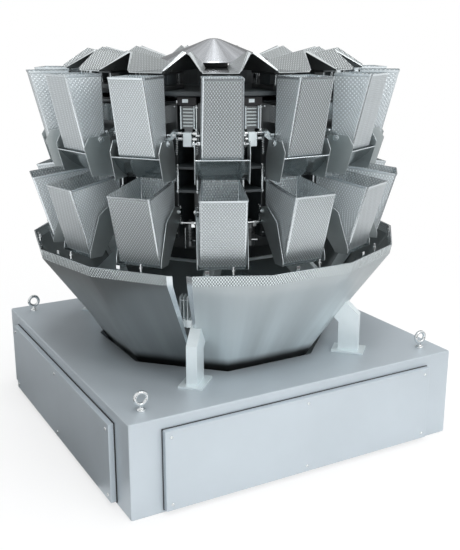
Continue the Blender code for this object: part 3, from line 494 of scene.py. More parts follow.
def build_materials():
    """Every finish of the machine, built once."""
    tint = colours()
    for name, colour, share, roughness, metallic, rest in FINISHES:
        metal(name, scaled(getattr(tint, colour), share), roughness, metallic, **rest)
    steel = [HOUSING_STEEL_LIFT + value for value in tint.housing]
    metal("dark housing steel", steel, 0.34, 0.85, darkest=0.6)
    painted("dark housing coat", tint.housing, 0.38)
    painted("black rubber", tint.rubber, 0.55)


def seen_directly(tree):
    """1 for camera, glossy and transmission rays, so that metal shows the white background too."""
    path = add_node(tree, "ShaderNodeLightPath").outputs
    either = calculate(tree, "MAXIMUM", path["Is Camera Ray"], path["Is Glossy Ray"])
    return calculate(tree, "MAXIMUM", either, path["Is Transmission Ray"])


# Objects


def mesh_of(name, shape):
    """Turns a bmesh into a mesh."""
    mesh = bpy.data.meshes.new(name)
    shape.to_mesh(mesh)
    shape.free()
    return mesh


def put(name, data):
    thing = bpy.data.objects.new(name, data)
    bpy.context.scene.collection.objects.link(thing)
    return thing


def shade_evenly(thing):
    thing.modifiers.new("Even shading", "WEIGHTED_NORMAL").keep_sharp = True


def settle(thing):
    """Applies a piece's modifiers to its mesh."""
    bpy.context.view_layer.update()
    graph = bpy.context.evaluated_depsgraph_get()
    mesh = bpy.data.meshes.new_from_object(thing.evaluated_get(graph))
    thing.modifiers.clear()
    thing.data = mesh


def cut_out(thing, name, cutter):
    """Cuts the cutter's solid out of a piece, before its other modifiers, and applies them all."""
    cut = thing.modifiers.new(name, "BOOLEAN")
    cut.operation = "DIFFERENCE"
    cut.object = cutter
    cut.solver = "EXACT"
    thing.modifiers.move(len(thing.modifiers) - 1, 0)
    settle(thing)


def give_finish(thing, name):
    thing.data.materials.clear()
    thing.data.materials.append(bpy.data.materials[name])


def stand(name, mesh, replaced=(), body="frame", turn=0.0):
    """An object of the mesh at its turn round the axis, riding on its body."""
    thing = put(name, mesh)
    shade_evenly(thing)
    thing.rotation_euler.z = -turn
    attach(thing, body)
    if replaced:
        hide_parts(*replaced)
    return thing


def new_piece(name, shape, finishes, replaced=(), body="frame", turn=0.0, sharp=32.0):
    """Makes a piece from a bmesh. Edges sharper than the angle in degrees stay sharp."""
    bmesh.ops.recalc_face_normals(shape, faces=shape.faces)
    mesh = mesh_of(name, shape)
    for finish in finishes:
        mesh.materials.append(bpy.data.materials[finish])
    mesh.polygons.foreach_set("use_smooth", [True] * len(mesh.polygons))
    mesh.set_sharp_from_angle(angle=math.radians(sharp))
    return stand(name, mesh, replaced, body, turn)


def around(name, shape, finishes, node=None, body="frame", sharp=32.0):
    """One copy of a head's piece for each head, all with one mesh. node and body take the head's number."""
    first = None
    for head in range(HEADS):
        number = "%02d" % (head + 1)
        label = name + "_" + number
        replaced = (node + number,) if node else ()
        rides = body if body == "frame" else body + number
        if first is None:
            first = new_piece(label, shape, finishes, replaced, rides, 0.0, sharp)
        else:
            stand(label, first.data, replaced, rides, head * HEAD_STEP)


# Mesh building


def add_faces(shape, rows, index=0, closed_loop=True):
    """Faces between rows of vertices, each row a ring or an open strip."""
    for near, far in zip(rows, rows[1:]):
        for step in range(len(near) if closed_loop else len(near) - 1):
            after = (step + 1) % len(near)
            shape.faces.new((near[step], near[after], far[after], far[step])).material_index = index


def lay_flat(face, layer, left, right, low, high):
    """Gives a four-sided face the sheet coordinates of a rectangle."""
    for loop, spot in zip(face.loops, ((left, low), (right, low), (right, high), (left, high))):
        loop[layer].uv = spot


def add_block(shape, low, high, index=0, edge=0.0, matrix=None):
    """A box with its edges eased."""
    size = [b - a for a, b in zip(low, high)]
    middle = [(a + b) / 2 for a, b in zip(low, high)]
    place = (matrix or Matrix.Identity(4)) @ Matrix.Translation(middle) @ Matrix.Diagonal((*size, 1.0))
    verts = bmesh.ops.create_cube(shape, size=1.0, matrix=place)["verts"]
    for face in {face for vert in verts for face in vert.link_faces}:
        face.material_index = index
    if edge:
        edges = list({line for vert in verts for line in vert.link_edges})
        bmesh.ops.bevel(shape, geom=edges, offset=edge, segments=2, affect="EDGES", profile=0.5, material=-1)


def add_plate(shape, outline, left, right, index=0, edge=0.0, cut_index=None):
    """Extrudes an outline of (distance outward, height) points from x = left to x = right.

    cut_index is the finish of the cut edges, where it isn't the same.
    """
    ends = [[shape.verts.new((x, -reach, height)) for reach, height in outline] for x in (left, right)]
    caps = [shape.faces.new(ends[0]), shape.faces.new(list(reversed(ends[1])))]
    for cap in caps:
        cap.material_index = index
    add_faces(shape, ends, index if cut_index is None else cut_index)
    if edge:
        lines = [line for cap in caps for line in cap.edges]
        bmesh.ops.bevel(shape, geom=lines, offset=edge, segments=1, affect="EDGES", material=-1)


def add_turned(shape, profile, steps, index=0, matrix=None):
    """Turns a profile of (radius, height) points round Z."""
    matrix = matrix or Matrix.Identity(4)
    rings = []
    for radius, height in profile:
        turns = [2 * math.pi * step / steps for step in range(steps if radius > 1e-6 else 1)]
        ring = [Vector((radius * math.cos(turn), radius * math.sin(turn), height)) for turn in turns]
        rings.append([shape.verts.new(matrix @ point) for point in ring])
    for near, far in zip(rings, rings[1:]):
        for step in range(steps):
            after = (step + 1) % steps
            corners = [near[step % len(near)], near[after % len(near)]]
            corners += [far[after % len(far)], far[step % len(far)]]
            unique = list(dict.fromkeys(corners))
            if len(unique) > 2:
                shape.faces.new(unique).material_index = index


def unroll(shape, radius):
    """Sheet coordinates round the axis, in metres along the rim and outwards."""
    layer = shape.loops.layers.uv.new(SHEET_UV)
    for face in shape.faces:
        middle = face.calc_center_median()
        turn = math.atan2(middle.y, middle.x)
        for loop in face.loops:
            point = loop.vert.co
            reach = math.hypot(point.x, point.y)
            off = math.atan2(point.y, point.x) - turn if reach > 1e-6 else 0.0
            off = (off + math.pi) % (2 * math.pi) - math.pi
            loop[layer].uv = ((turn + off) * radius, reach)


def pointing(start, line):
    """Stands a shape that is drawn along Z at a start, along a line."""
    return Matrix.Translation(start) @ Vector(line).to_track_quat("Z", "Y").to_matrix().to_4x4()


def add_rod(shape, start, end, radius, sides=12, index=0):
    """A round rod between two points, with chamfered ends."""
    line = Vector(end) - Vector(start)
    tall, chamfer = line.length, 0.0006
    profile = [(0, 0), (radius - chamfer, 0), (radius, chamfer), (radius, tall - chamfer)]
    profile += [(radius - chamfer, tall), (0, tall)]
    add_turned(shape, profile, sides, index, pointing(start, line))


def add_tube(shape, path, radius, sides=8, index=0, loop=False):
    """A round wire along points."""
    rows = []
    up = Vector((0, 0, 1))
    count = len(path)
    for step, point in enumerate(path):
        before = path[(step - 1) % count] if loop or step else point
        after = path[(step + 1) % count] if loop or step < count - 1 else point
        tangent = (Vector(after) - Vector(before)).normalized()
        if abs(tangent.dot(up)) > 0.95:
            up = tangent.orthogonal().normalized()
        side = tangent.cross(up).normalized()
        up = side.cross(tangent).normalized()
        turns = [2 * math.pi * each / sides for each in range(sides)]
        ring = [Vector(point) + (side * math.cos(turn) + up * math.sin(turn)) * radius for turn in turns]
        rows.append([shape.verts.new(place) for place in ring])
    if loop:
        rows.append(rows[0])
    add_faces(shape, rows, index)
    if not loop:
        for row in (rows[0], rows[-1]):
            shape.faces.new(row).material_index = index


def add_spring(shape, start, end, radius, wire, turns, index=0):
    line = Vector(end) - Vector(start)
    place = pointing(start, line)
    steps = turns * 10
    path = []
    for step in range(steps + 1):
        share = step / steps
        angle = 2 * math.pi * turns * share
        spot = (math.cos(angle) * radius, math.sin(angle) * radius, line.length * share)
        path.append(place @ Vector(spot))
    add_tube(shape, path, wire, 5, index)


def add_screw(shape, place, radius, index=0):
    """A button head with a round socket, seated at place and facing outward along -Y."""
    tall = radius * 0.55
    profile = [(0, 0.45), (0.42, 0.45), (0.46, 0.98), (0.62, 1.0), (0.90, 0.62), (1.0, 0.18)]
    profile = [(radius * wide, tall * high) for wide, high in profile] + [(radius, -0.0004), (0, -0.0004)]
    add_turned(shape, profile, 14, index, pointing(place, (0, -1, 0)))


def between(first, second, share):
    return tuple(a + (b - a) * share for a, b in zip(first, second))


def level_between(first, second, share):
    ends = [between(near, far, share) for near, far in zip(first[:2], second[:2])]
    return (*ends, *between(first[2:], second[2:], share))


def ring_points(level, inset, corner, steps):
    """A rounded rectangle between a level's back and front points, with the sheet's inset."""
    back, front, back_half, front_half = level
    depth = math.dist(back, front)
    radius = max(corner - inset, 0.0006)
    right = []
    for middle, side in ((inset + radius, -1), (depth - inset - radius, 1)):
        half = back_half + (front_half - back_half) * middle / depth - inset
        for step in range(steps + 1):
            turn = math.pi / 2 * step / steps
            away, up = math.cos(turn), math.sin(turn)
            if side > 0:
                away, up = up, away
            right.append((middle + side * radius * away, half - radius + radius * up))
    points = []
    for along, across in right + [(along, -across) for along, across in reversed(right)]:
        reach, height = between(back, front, along / depth)
        points.append(Vector((across, -reach, height)))
    return points


def add_hopper_walls(shape, levels, inner_index, side_index):
    """A sheet box with bent upright edges, a folded hem at the rim and a plain edge at the foot.

    The outside panels take finish 0 and the bends take 1.
    """
    given = sizes()
    corner, steps = given.bend_radius, given.bend_steps
    fold = 0.0012
    tall = math.dist(levels[0][1], levels[1][1])
    under_hem = level_between(levels[0], levels[1], given.hem / tall)
    below = level_between(levels[0], levels[1], (given.hem + 0.0008) / tall)
    outer = [(levels[0], fold), (levels[0], 0.0), (under_hem, 0.0), (below, fold)]
    outer += [(level, fold) for level in levels[1:]]
    inside = fold + given.hopper_sheet
    inner = [(levels[0], inside + 0.0003), (below, inside)] + [(level, inside) for level in levels[1:]]
    layer = shape.loops.layers.uv.new(SHEET_UV)
    sides = []
    for wanted in (outer, inner):
        drop, last, made = 0.0, levels[0][1], []
        for level, inset in wanted:
            drop += math.dist(last, level[1])
            last = level[1]
            ring = ring_points(level, inset, corner, steps)
            made.append(([shape.verts.new(point) for point in ring], drop))
        sides.append(made)
    count = 4 * (steps + 1)
    panels = {steps: side_index, 2 * steps + 1: 0, 3 * steps + 2: side_index, 4 * steps + 3: 0}
    for made in sides:
        outside = made is sides[0]
        near_foot = made[-2][0]
        along = [0.0]
        for step in range(count):
            along.append(along[-1] + (near_foot[step].co - near_foot[(step + 1) % count].co).length)
        for row, ((near, near_drop), (far, far_drop)) in enumerate(zip(made, made[1:])):
            for step in range(count):
                after = (step + 1) % count
                face = shape.faces.new((near[step], near[after], far[after], far[step]))
                bent = step not in panels or (outside and row < 3)
                face.material_index = 1 if bent else panels[step] if outside else inner_index
                lay_flat(face, layer, along[step], along[step + 1], near_drop, far_drop)
    for row in (0, -1):
        add_faces(shape, [made[row][0] for made in sides], 1)


def polygon_reach(azimuth, sides, radius):
    """Distance from the axis to a regular polygon, with the middle of one side facing the front."""
    step = 2 * math.pi / sides
    off = (azimuth + step / 2) % step - step / 2
    return radius * math.cos(step / 2) / math.cos(off)


def outward(azimuth, reach, height):
    return Vector((-math.sin(azimuth) * reach, -math.cos(azimuth) * reach, height))


# Cabinet


class OBJECT_OT_weigher_cabinet(Operator):
    """Cabinet sheet with its octagonal well, lifting eyes, covers and cover screws"""

    bl_idname = "object.weigher_cabinet"
    bl_label = "Dress Cabinet"

    def execute(self, context):
        shell = cabinet_shell()
        lifting_eyes()
        cabinet_covers()
        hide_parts("base_cabinet")
        return {"FINISHED"}


def cabinet_shell():
    half = CABINET_SIDE / 2
    shape = bmesh.new()
    add_block(shape, (-half, -half, 0), (half, half, CABINET_TOP), 0, 0.006)
    cabinet = new_piece("cabinet_shell", shape, ["blasted cabinet sheet"])
    cabinet.modifiers.clear()
    turn = Matrix.Rotation(math.pi / WELL_SIDES, 4, "Z")
    over = 0.02
    for name, radius, low, high in (
        ("well", WELL_RADIUS, LEDGE_HEIGHT, CABINET_TOP + over),
        ("outlet", OUTLET_RADIUS, -over, LEDGE_HEIGHT + over),
    ):
        shape = bmesh.new()
        add_turned(shape, [(0, low), (radius, low), (radius, high), (0, high)], WELL_SIDES, 0, turn)
        bmesh.ops.recalc_face_normals(shape, faces=shape.faces)
        cutter = put(name, mesh_of(name, shape))
        cut_out(cabinet, name, cutter)
        bpy.data.objects.remove(cutter, do_unlink=True)
    rounding = cabinet.modifiers.new("Well edge", "BEVEL")
    rounding.width, rounding.segments = 0.0015, 2
    rounding.limit_method, rounding.angle_limit = "ANGLE", math.radians(60)
    settle(cabinet)
    shade_evenly(cabinet)
    return cabinet


def lifting_eyes():
    shape = bmesh.new()
    place = CABINET_SIDE / 2 - EYE_INSET
    profile = [(0, -0.002), (0.013, -0.002), (0.013, 0.0035), (0.0115, 0.005), (0.0075, 0.0065)]
    profile += [(EYE_WIRE, 0.011), (EYE_WIRE, EYE_SHANK), (0, EYE_SHANK)]
    centre = Vector((0, 0, EYE_SHANK + EYE_RADIUS - EYE_WIRE / 2))
    turns = [math.pi / 2 + 2 * math.pi * step / 32 for step in range(32)]
    ring = [centre + Vector((math.cos(turn), 0, math.sin(turn))) * EYE_RADIUS for turn in turns]
    for right in (-1, 1):
        for back in (-1, 1):
            foot = Matrix.Translation((right * place, back * place, CABINET_TOP))
            add_turned(shape, profile, 20, 0, foot)
            add_tube(shape, [foot @ point for point in ring], EYE_WIRE, 12, 0, True)
    new_piece("lifting_eyes", shape, ["bright pin steel"], sharp=50.0)


def cabinet_covers():
    half = (COVER_HIGH.x - COVER_LOW.x) / 2
    face, back = -COVER_LOW.y, COVER_HIGH.y
    margin, gasket = 0.020, 0.0016
    for quarter, name in enumerate(("cover_front", "cover_left", "cover_back", "cover_right")):
        shape = bmesh.new()
        add_block(shape, (-half, -face, COVER_LOW.z), (half, back, COVER_HIGH.z), 0, 0.0035)
        low = (-half - gasket, back - 0.0032, COVER_LOW.z - gasket)
        high = (half + gasket, back + 0.0002, COVER_HIGH.z + gasket)
        add_block(shape, low, high, 2, 0.0006)
        for across in (-half + margin, 0.0, half - margin):
            for height in (COVER_LOW.z + margin, COVER_HIGH.z - margin):
                add_screw(shape, (across, -face + 0.0006, height), sizes().screw_radius, 1)
        finishes = ["blasted cabinet sheet", "bright pin steel", "black rubber"]
        new_piece(name + "_sheet", shape, finishes, (name,), turn=quarter * math.pi / 2)


# Collecting chute


class OBJECT_OT_weigher_chute(Operator):
    """Finishes of the chute, its hemmed rim and its end flanges"""

    bl_idname = "object.weigher_chute"
    bl_label = "Dress Chute"

    def execute(self, context):
        chute_segments()
        give_finish(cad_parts["discharge_funnel"], "satin funnel sheet")
        give_finish(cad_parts["body_stand"], "satin stand tube")
        chute_rim()
        chute_strips()
        chute_bracket()
        rim_pegs()
        return {"FINISHED"}


def corner_azimuths(sides):
    """Azimuths of a polygon's corners, from a turn before the front to two turns after it."""
    step = 2 * math.pi / sides
    return [(number + 0.5) * step for number in range(-sides, 2 * sides)]


def chute_stations(start, end):
    """Azimuth pairs (at the rim, at the foot) along a segment, close enough for soft bends."""
    first, last = start + CHUTE_GAP_TOP, end - CHUTE_GAP_TOP
    corners = sorted(corner_azimuths(HEADS) + corner_azimuths(WELL_SIDES))
    stops = [(stop, stop) for stop in corners if first < stop < last]
    stops = [(first, start + CHUTE_GAP_FOOT), *stops, (last, end - CHUTE_GAP_FOOT)]
    fine = [stops[0]]
    for near, far in zip(stops, stops[1:]):
        count = max(1, math.ceil((far[0] - near[0]) / CHUTE_STEP))
        fine += [between(near, far, (step + 1) / count) for step in range(count)]
    return fine


def chute_column(rim, foot, inset):
    """A segment's points from the foot to the rim at one station."""
    low = outward(foot, polygon_reach(foot, WELL_SIDES, CHUTE_FOOT_RADIUS) - inset, CHUTE_FOOT)
    reach = polygon_reach(rim, HEADS, RIM_RADIUS) - inset
    band = outward(rim, reach, RIM_TOP - RIM_BAND)
    points = [low.lerp(band, level / CHUTE_LEVELS) for level in range(CHUTE_LEVELS + 1)]
    return points + [outward(rim, reach + RIM_FLARE, RIM_TOP)]


def chute_segments():
    """Three lofted sheets, with one side for each head at the rim and eight at the foot."""
    for index, name in enumerate(("chute_left", "chute_back", "chute_front")):
        start = CHUTE_GAP_CENTRE + index * CHUTE_SPAN
        stops = chute_stations(start, start + CHUTE_SPAN)
        shape = bmesh.new()
        layer = shape.loops.layers.uv.new(SHEET_UV)
        sides = []
        for inset in (0.0, CHUTE_SHEET):
            columns = [[shape.verts.new(point) for point in chute_column(*stop, inset)] for stop in stops]
            sides.append(columns)
            for place, (near, far) in enumerate(zip(columns, columns[1:])):
                left, right = (stop[0] * RIM_RADIUS for stop in stops[place : place + 2])
                for level, corners in enumerate(zip(near, far, far[1:], near[1:])):
                    face = shape.faces.new(corners)
                    face.material_index = 1 if level == CHUTE_LEVELS else 2 if inset else 0
                    lay_flat(face, layer, left, right, near[level].co.z, near[level + 1].co.z)
        for end in (0, -1):
            add_faces(shape, [columns[end] for columns in sides], 0, False)
            add_faces(shape, [[column[end] for column in columns] for columns in sides], 0, False)
        # The left segment takes a darker copy of the chute sheet: painted shade
        outside = "satin chute sheet in shade" if name == "chute_left" else "satin chute sheet"
        # The inner faces take a darker copy of the chute sheet: painted shade
        finishes = [outside, "embossed rim sheet", "satin chute inside"]
        segment = new_piece(name + "_sheet", shape, finishes, (name,), sharp=40.0)
        cut_out(segment, "Leg notch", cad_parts["body_stand"])
        shade_evenly(segment)


def chute_rim():
    """A rolled wire edge along each segment's rim, and a folded flange down both its ends."""
    shape = bmesh.new()
    for index in range(CHUTE_SEGMENTS):
        start = CHUTE_GAP_CENTRE + index * CHUTE_SPAN
        end = start + CHUTE_SPAN
        first, last = start + CHUTE_GAP_TOP, end - CHUTE_GAP_TOP
        stops = [first, *(corner for corner in corner_azimuths(HEADS) if first < corner < last), last]
        reach = RIM_RADIUS + RIM_FLARE - 0.0022
        path = [outward(stop, polygon_reach(stop, HEADS, reach), RIM_TOP - 0.0012) for stop in stops]
        add_tube(shape, path, 0.0018)
        for gap, side in ((start, 1), (end, -1)):
            lines = [
                chute_column(gap + side * CHUTE_GAP_TOP * top, gap + side * CHUTE_GAP_FOOT * foot, inset)
                for top, foot, inset in CHUTE_FLANGE
            ]
            rows = [[shape.verts.new(line[level]) for line in lines] for level in range(1, len(lines[0]))]
            add_faces(shape, rows)
            shape.faces.new(rows[0])
            shape.faces.new(rows[-1])
    new_piece("chute_hems", shape, ["smooth hopper bends"])


def chute_strips():
    """Strips behind the two rear gaps between the segments."""
    shape = bmesh.new()
    for index in (1, 2):
        middle = CHUTE_GAP_CENTRE + index * CHUTE_SPAN
        ends = (
            (polygon_reach(middle, HEADS, RIM_RADIUS), CHUTE_GAP_TOP * 1.25, RIM_TOP - RIM_BAND),
            (polygon_reach(middle, WELL_SIDES, CHUTE_FOOT_RADIUS), CHUTE_GAP_FOOT * 2.5, CHUTE_FOOT + 0.02),
        )
        rows = []
        for depth in (0.004, 0.0055):
            for reach, wide, height in ends:
                away = (reach - depth) / math.cos(wide)
                row = [outward(middle + side * wide, away, height) for side in (-1, 1)]
                rows.append([shape.verts.new(point) for point in row])
        outer_top, outer_foot, inner_top, inner_foot = rows
        for near, far in (
            (outer_top, outer_foot),
            (inner_top, inner_foot),
            (outer_top, inner_top),
            (outer_foot, inner_foot),
        ):
            shape.faces.new((*near, *reversed(far)))
        for side in (0, 1):
            shape.faces.new([row[side] for row in (outer_top, outer_foot, inner_foot, inner_top)])
    new_piece("chute_joint_strips", shape, ["satin stand tube"])


def chute_bracket():
    """The clevis bracket that shows through the front gap."""
    shape = bmesh.new()
    turn = Matrix.Rotation(-BRACKET_AZIMUTH, 4, "Z")
    reach, foot, top = 0.452, CABINET_TOP + 0.165, CABINET_TOP + 0.262
    for across in (-0.0125, -0.0015, 0.0095):
        low, high = (across, -reach - 0.017, foot), (across + 0.003, -reach + 0.017, top)
        add_block(shape, low, high, 0, 0.001, turn)
    add_block(shape, (-0.0125, -reach - 0.015, foot), (0.034, -reach + 0.015, foot + 0.024), 0, 0.002, turn)
    for height in (top - 0.016, foot + 0.012):
        start, end = (turn @ Vector((across, -reach, height)) for across in (-0.0165, 0.0165))
        add_rod(shape, start, end, 0.0042, 12, 1)
    new_piece("chute_bracket", shape, ["satin stand tube", "bright pin steel"])


def rim_pegs():
    """Short pegs that stand inside the rim, one by each head."""
    shape = bmesh.new()
    reach = RIM_RADIUS * math.cos(HEAD_STEP / 2) - 0.004
    low = Vector((0.028, -reach, RIM_TOP - 0.022))
    for start, end, radius in ((0.0, 0.046, 0.0032), (0.0, 0.010, 0.0055), (0.032, 0.037, 0.0048)):
        add_rod(shape, low + Vector((0, 0, start)), low + Vector((0, 0, end)), radius)
    tab_low, tab_high = (-0.052, -reach - 0.001, RIM_TOP - 0.02), (-0.040, -reach + 0.001, RIM_TOP + 0.013)
    add_block(shape, tab_low, tab_high, 0, 0.0005)
    around("rim_peg", shape, ["bright pin steel"], sharp=40.0)


# Drum, drives and what shows between the heads


class OBJECT_OT_weigher_drum(Operator):
    """Drum, drive housings with their covers, hooks for the hoppers and link rods"""

    bl_idname = "object.weigher_drum"
    bl_label = "Dress Drum"

    def execute(self, context):
        shape = bmesh.new()
        turn = Matrix.Rotation(math.pi / HEADS + math.pi / 2, 4, "Z")
        profile = [(0, DRUM_TOP), (DRUM_RADIUS - 0.004, DRUM_TOP), (DRUM_RADIUS, DRUM_TOP - 0.004)]
        profile += [(DRUM_RADIUS, DRUM_FOOT + 0.042), (DRUM_RADIUS - 0.002, DRUM_FOOT + 0.036)]
        profile += [(DRUM_RADIUS - 0.018, DRUM_FOOT + 0.004), (DRUM_RADIUS - 0.022, DRUM_FOOT)]
        profile.append((0, DRUM_FOOT))
        add_turned(shape, profile, HEADS, 0, turn)
        new_piece("drum", shape, ["dark housing steel"], ("centre_body",))
        drive_housings()
        link_rods()
        head_fittings()
        return {"FINISHED"}


def drive_housings():
    """A dark housing behind each head, with two covers and the hooks that its hoppers hang on."""
    half, inner, top = DRIVE_WIDTH / 2, DRUM_RADIUS - 0.016, DRUM_TOP - 0.016
    split = (POOL_BACK_FOOT[1] + WEIGH_BACK_TOP[1]) / 2
    front = DRIVE_FACE - 0.004
    shape = bmesh.new()
    outline = [(inner, DRIVE_FOOT), (front, DRIVE_FOOT), (front, top), (inner, top)]
    add_plate(shape, outline, -half + 0.006, half - 0.006, 0, 0.003)
    for low, high in ((DRIVE_FOOT + 0.006, split - 0.004), (split + 0.004, top - 0.004)):
        corners = (-half + 0.003, -DRIVE_FACE, low), (half - 0.003, -DRIVE_FACE + 0.008, high)
        add_block(shape, *corners, 1, 0.002)
        for across in (-half + 0.011, half - 0.011):
            for height in (low + 0.010, high - 0.010):
                add_screw(shape, (across, -DRIVE_FACE + 0.0003, height), 0.0035, 2)
    for reach, high in ((POOL_BACK_TOP[0], POOL_TOP - 0.086), (WEIGH_BACK_TOP[0], WEIGH_BACK_TOP[1] - 0.017)):
        for side in (-0.035, 0.035):
            low = (side - 0.004, -reach + 0.0006, high - 0.05)
            add_block(shape, low, (side + 0.004, -DRIVE_FACE + 0.002, high), 2, 0.001)
    around("drive_housing", shape, ["dark housing coat", "dark housing steel", "bright pin steel"])


class HeadGap:
    """Draws in the gap between two heads, with places as (across, distance from the axis, height)."""

    turn = Matrix.Rotation(-HEAD_STEP / 2, 4, "Z")

    def __init__(self):
        self.shape = bmesh.new()

    def place(self, spot):
        return self.turn @ Vector((spot[0], -spot[1], spot[2]))

    def block(self, low, high, index, edge=0.001):
        corners = (low[0], -high[1], low[2]), (high[0], -low[1], high[2])
        add_block(self.shape, *corners, index, edge, self.turn)

    def rod(self, start, end, radius, index=2, sides=12):
        add_rod(self.shape, self.place(start), self.place(end), radius, sides, index)

    def post(self, across, reach, low, high, radius, index=2, sides=12):
        self.rod((across, reach, low), (across, reach, high), radius, index, sides)

    def spring(self, across, low_reach, high_reach, low, high):
        ends = self.place((across, low_reach, low)), self.place((across, high_reach, high))
        add_spring(self.shape, *ends, 0.0042, 0.0009, 9, 2)


def link_rods():
    """Between two heads: bright rods with collars on their arms."""
    radius = sizes().rod_radius
    low = WEIGH_BACK_TOP[1] - 0.042
    arms = (low + 0.006, low + 0.074)
    gap = HeadGap()
    for height in arms:
        start, end = (-0.033, DRUM_RADIUS - 0.01, height - 0.004), (0.033, LINK_REACH + 0.006, height + 0.004)
        gap.block(start, end, 2, 0.0015)
    for side in (-0.029, 0.029):
        gap.post(side, LINK_REACH, low, low + 0.085, radius * 0.8, 1, 14)
        for height in arms:
            gap.post(side, LINK_REACH, height - 0.003, height + 0.003, radius + 0.002, 1, 14)
    finishes = ["dark housing steel", "bright pin steel", "dark housing coat"]
    around("head_link", gap.shape, finishes, sharp=40.0)


def head_fittings():
    """Between two heads: a ribbed plate with folded edges, a black cap, a light block, a motor and rods."""
    top = DECK_TOP - 0.014
    drum = DRUM_RADIUS - 0.02
    gap = HeadGap()
    gap.block((-0.012, drum, top - 0.145), (0.012, 0.404, top), 0)
    gap.block((-0.021, 0.404, top - 0.092), (0.021, 0.4085, top - 0.027), 0)
    for left, right in ((-0.021, -0.0178), (0.0178, 0.021)):
        gap.block((left, 0.404, top - 0.092), (right, 0.4175, top - 0.027), 3, 0.0006)
    for step in range(6):
        low = top - 0.086 + step * 0.0095
        gap.block((-0.0150, 0.4085, low), (0.0150, 0.4110, low + 0.0050), 4, 0.0008)
    gap.block((-0.028, 0.385, top - 0.025), (0.028, 0.424, top - 0.001), 1, 0.002)
    gap.block((-0.013, 0.424, top - 0.017), (0.004, 0.4252, top - 0.007), 3, 0.0004)
    gap.block((-0.013, 0.398, top - 0.142), (0.013, 0.424, top - 0.101), 3, 0.002)
    gap.block((-0.034, 0.404, top - 0.105), (-0.030, 0.4105, top - 0.012), 2, 0.0006)
    for low, high, radius in ((0.100, 0.022, 0.0028), (0.098, 0.090, 0.0052), (0.034, 0.028, 0.0052)):
        gap.post(0.026, 0.414, top - low, top - high, radius)
    rollers = ((-0.034, -0.016, 0.0058, 14), (0.016, 0.034, 0.0058, 14), (-0.034, 0.034, 0.0030, 12))
    for level in (POOL_PIVOT[1] + 0.004, POOL_PIVOT[1] + 0.020, WEIGH_BACK_FOOT[1] - 0.030):
        for left, right, radius, sides in rollers:
            gap.rod((left, 0.418, level), (right, 0.418, level), radius, 2, sides)
    motor_foot = WEIGH_BACK_FOOT[1] - 0.105
    profile = [(0, 0), (0.015, 0), (0.0165, 0.0015), (0.0165, 0.012)]
    for rib in range(5):
        low = 0.014 + rib * 0.009
        profile += [(0.0150, low), (0.0150, low + 0.0035), (0.0172, low + 0.0045), (0.0172, low + 0.0075)]
    profile += [(0.0165, 0.062), (0.0165, 0.070), (0.013, 0.0725)]
    profile += [(0.006, 0.0735), (0.006, 0.080), (0, 0.080)]
    add_turned(gap.shape, profile, 24, 0, gap.turn @ Matrix.Translation((0, -0.395, motor_foot)))
    gap.block((-0.022, drum, motor_foot + 0.026), (0.022, 0.388, motor_foot + 0.044), 1, 0.002)
    gap.block((0.006, 0.404, motor_foot + 0.060), (0.018, 0.4135, motor_foot + 0.078), 2, 0.001)
    gap.post(-0.012, 0.412, motor_foot - 0.004, motor_foot + 0.060, 0.0024)
    gap.rod((-0.012, 0.405, motor_foot + 0.020), (0.020, 0.414, motor_foot + 0.020), 0.0030)
    for side in (-1, 1):
        gap.spring(side * 0.030, 0.428, 0.424, POOL_PIVOT[1] - 0.040, POOL_PIVOT[1] + 0.006)
        gap.spring(side * 0.026, 0.415, 0.415, WEIGH_BACK_FOOT[1] - 0.028, WEIGH_BACK_FOOT[1] + 0.022)
    finishes = ["dark housing steel", "black rubber", "bright pin steel"]
    finishes += ["light fitting sheet", "dark gate sheet"]
    around("head_fittings", gap.shape, finishes, sharp=40.0)


# Hoppers and gates


class OBJECT_OT_weigher_pool_hoppers(Operator):
    """Pool hoppers of embossed sheet with bent edges, hems and hinge pins"""

    bl_idname = "object.weigher_pool_hoppers"
    bl_label = "Dress Pool Hoppers"

    def execute(self, context):
        waist = between(POOL_FRONT_TOP, POOL_FRONT_FOOT, 0.88)
        shape = bmesh.new()
        levels = [
            (POOL_BACK_TOP, POOL_FRONT_TOP, POOL_TOP_HALF, POOL_TOP_HALF),
            (POOL_BACK_BEND, waist, POOL_FOOT_HALF, POOL_FOOT_HALF - 0.0004),
            (POOL_BACK_FOOT, POOL_FRONT_FOOT, POOL_FOOT_HALF + 0.0012, POOL_FOOT_HALF),
        ]
        # The inside (finish 3) and the side panels (finish 4) take lighter copies of the hopper sheet, as
        # painted light
        add_hopper_walls(shape, levels, 3, 4)
        reach, height = POOL_PIVOT
        lever = [
            (DRIVE_FACE - 0.002, height + 0.030), (reach - 0.060, height + 0.034),
            (reach - 0.006, height + 0.012), (reach + 0.008, height + 0.004),
            (reach + 0.006, height - 0.008), (reach - 0.008, height - 0.008),
            (reach - 0.060, height + 0.010), (DRIVE_FACE - 0.002, height + 0.008),
        ]
        for side in (-1, 1):
            pin = Vector((side * POOL_WALL_HALF, -reach, height))
            out = Vector((side, 0, 0))
            add_rod(shape, pin - out * 0.002, pin + out * 0.022, 0.004, 16, 2)
            add_rod(shape, pin - out * 0.0005, pin + out * 0.009, 0.0075, 18, 2)
            left, right = sorted((side * 0.0645, side * 0.0675))
            add_plate(shape, lever, left, right, 2, 0.0005)
            for back in (0.058, 0.030):
                bolt = Vector((side * 0.0675, -reach + back, height + 0.022 - back * 0.1))
                add_rod(shape, bolt - out * 0.008, bolt + out * 0.0035, 0.0052, 6, 2)
        finishes = ["embossed hopper sheet", "smooth hopper bends", "bright pin steel"]
        finishes += ["embossed sheet inside", "embossed hopper side"]
        around("pool_hopper_sheet", shape, finishes, node="pool_hopper_")
        return {"FINISHED"}


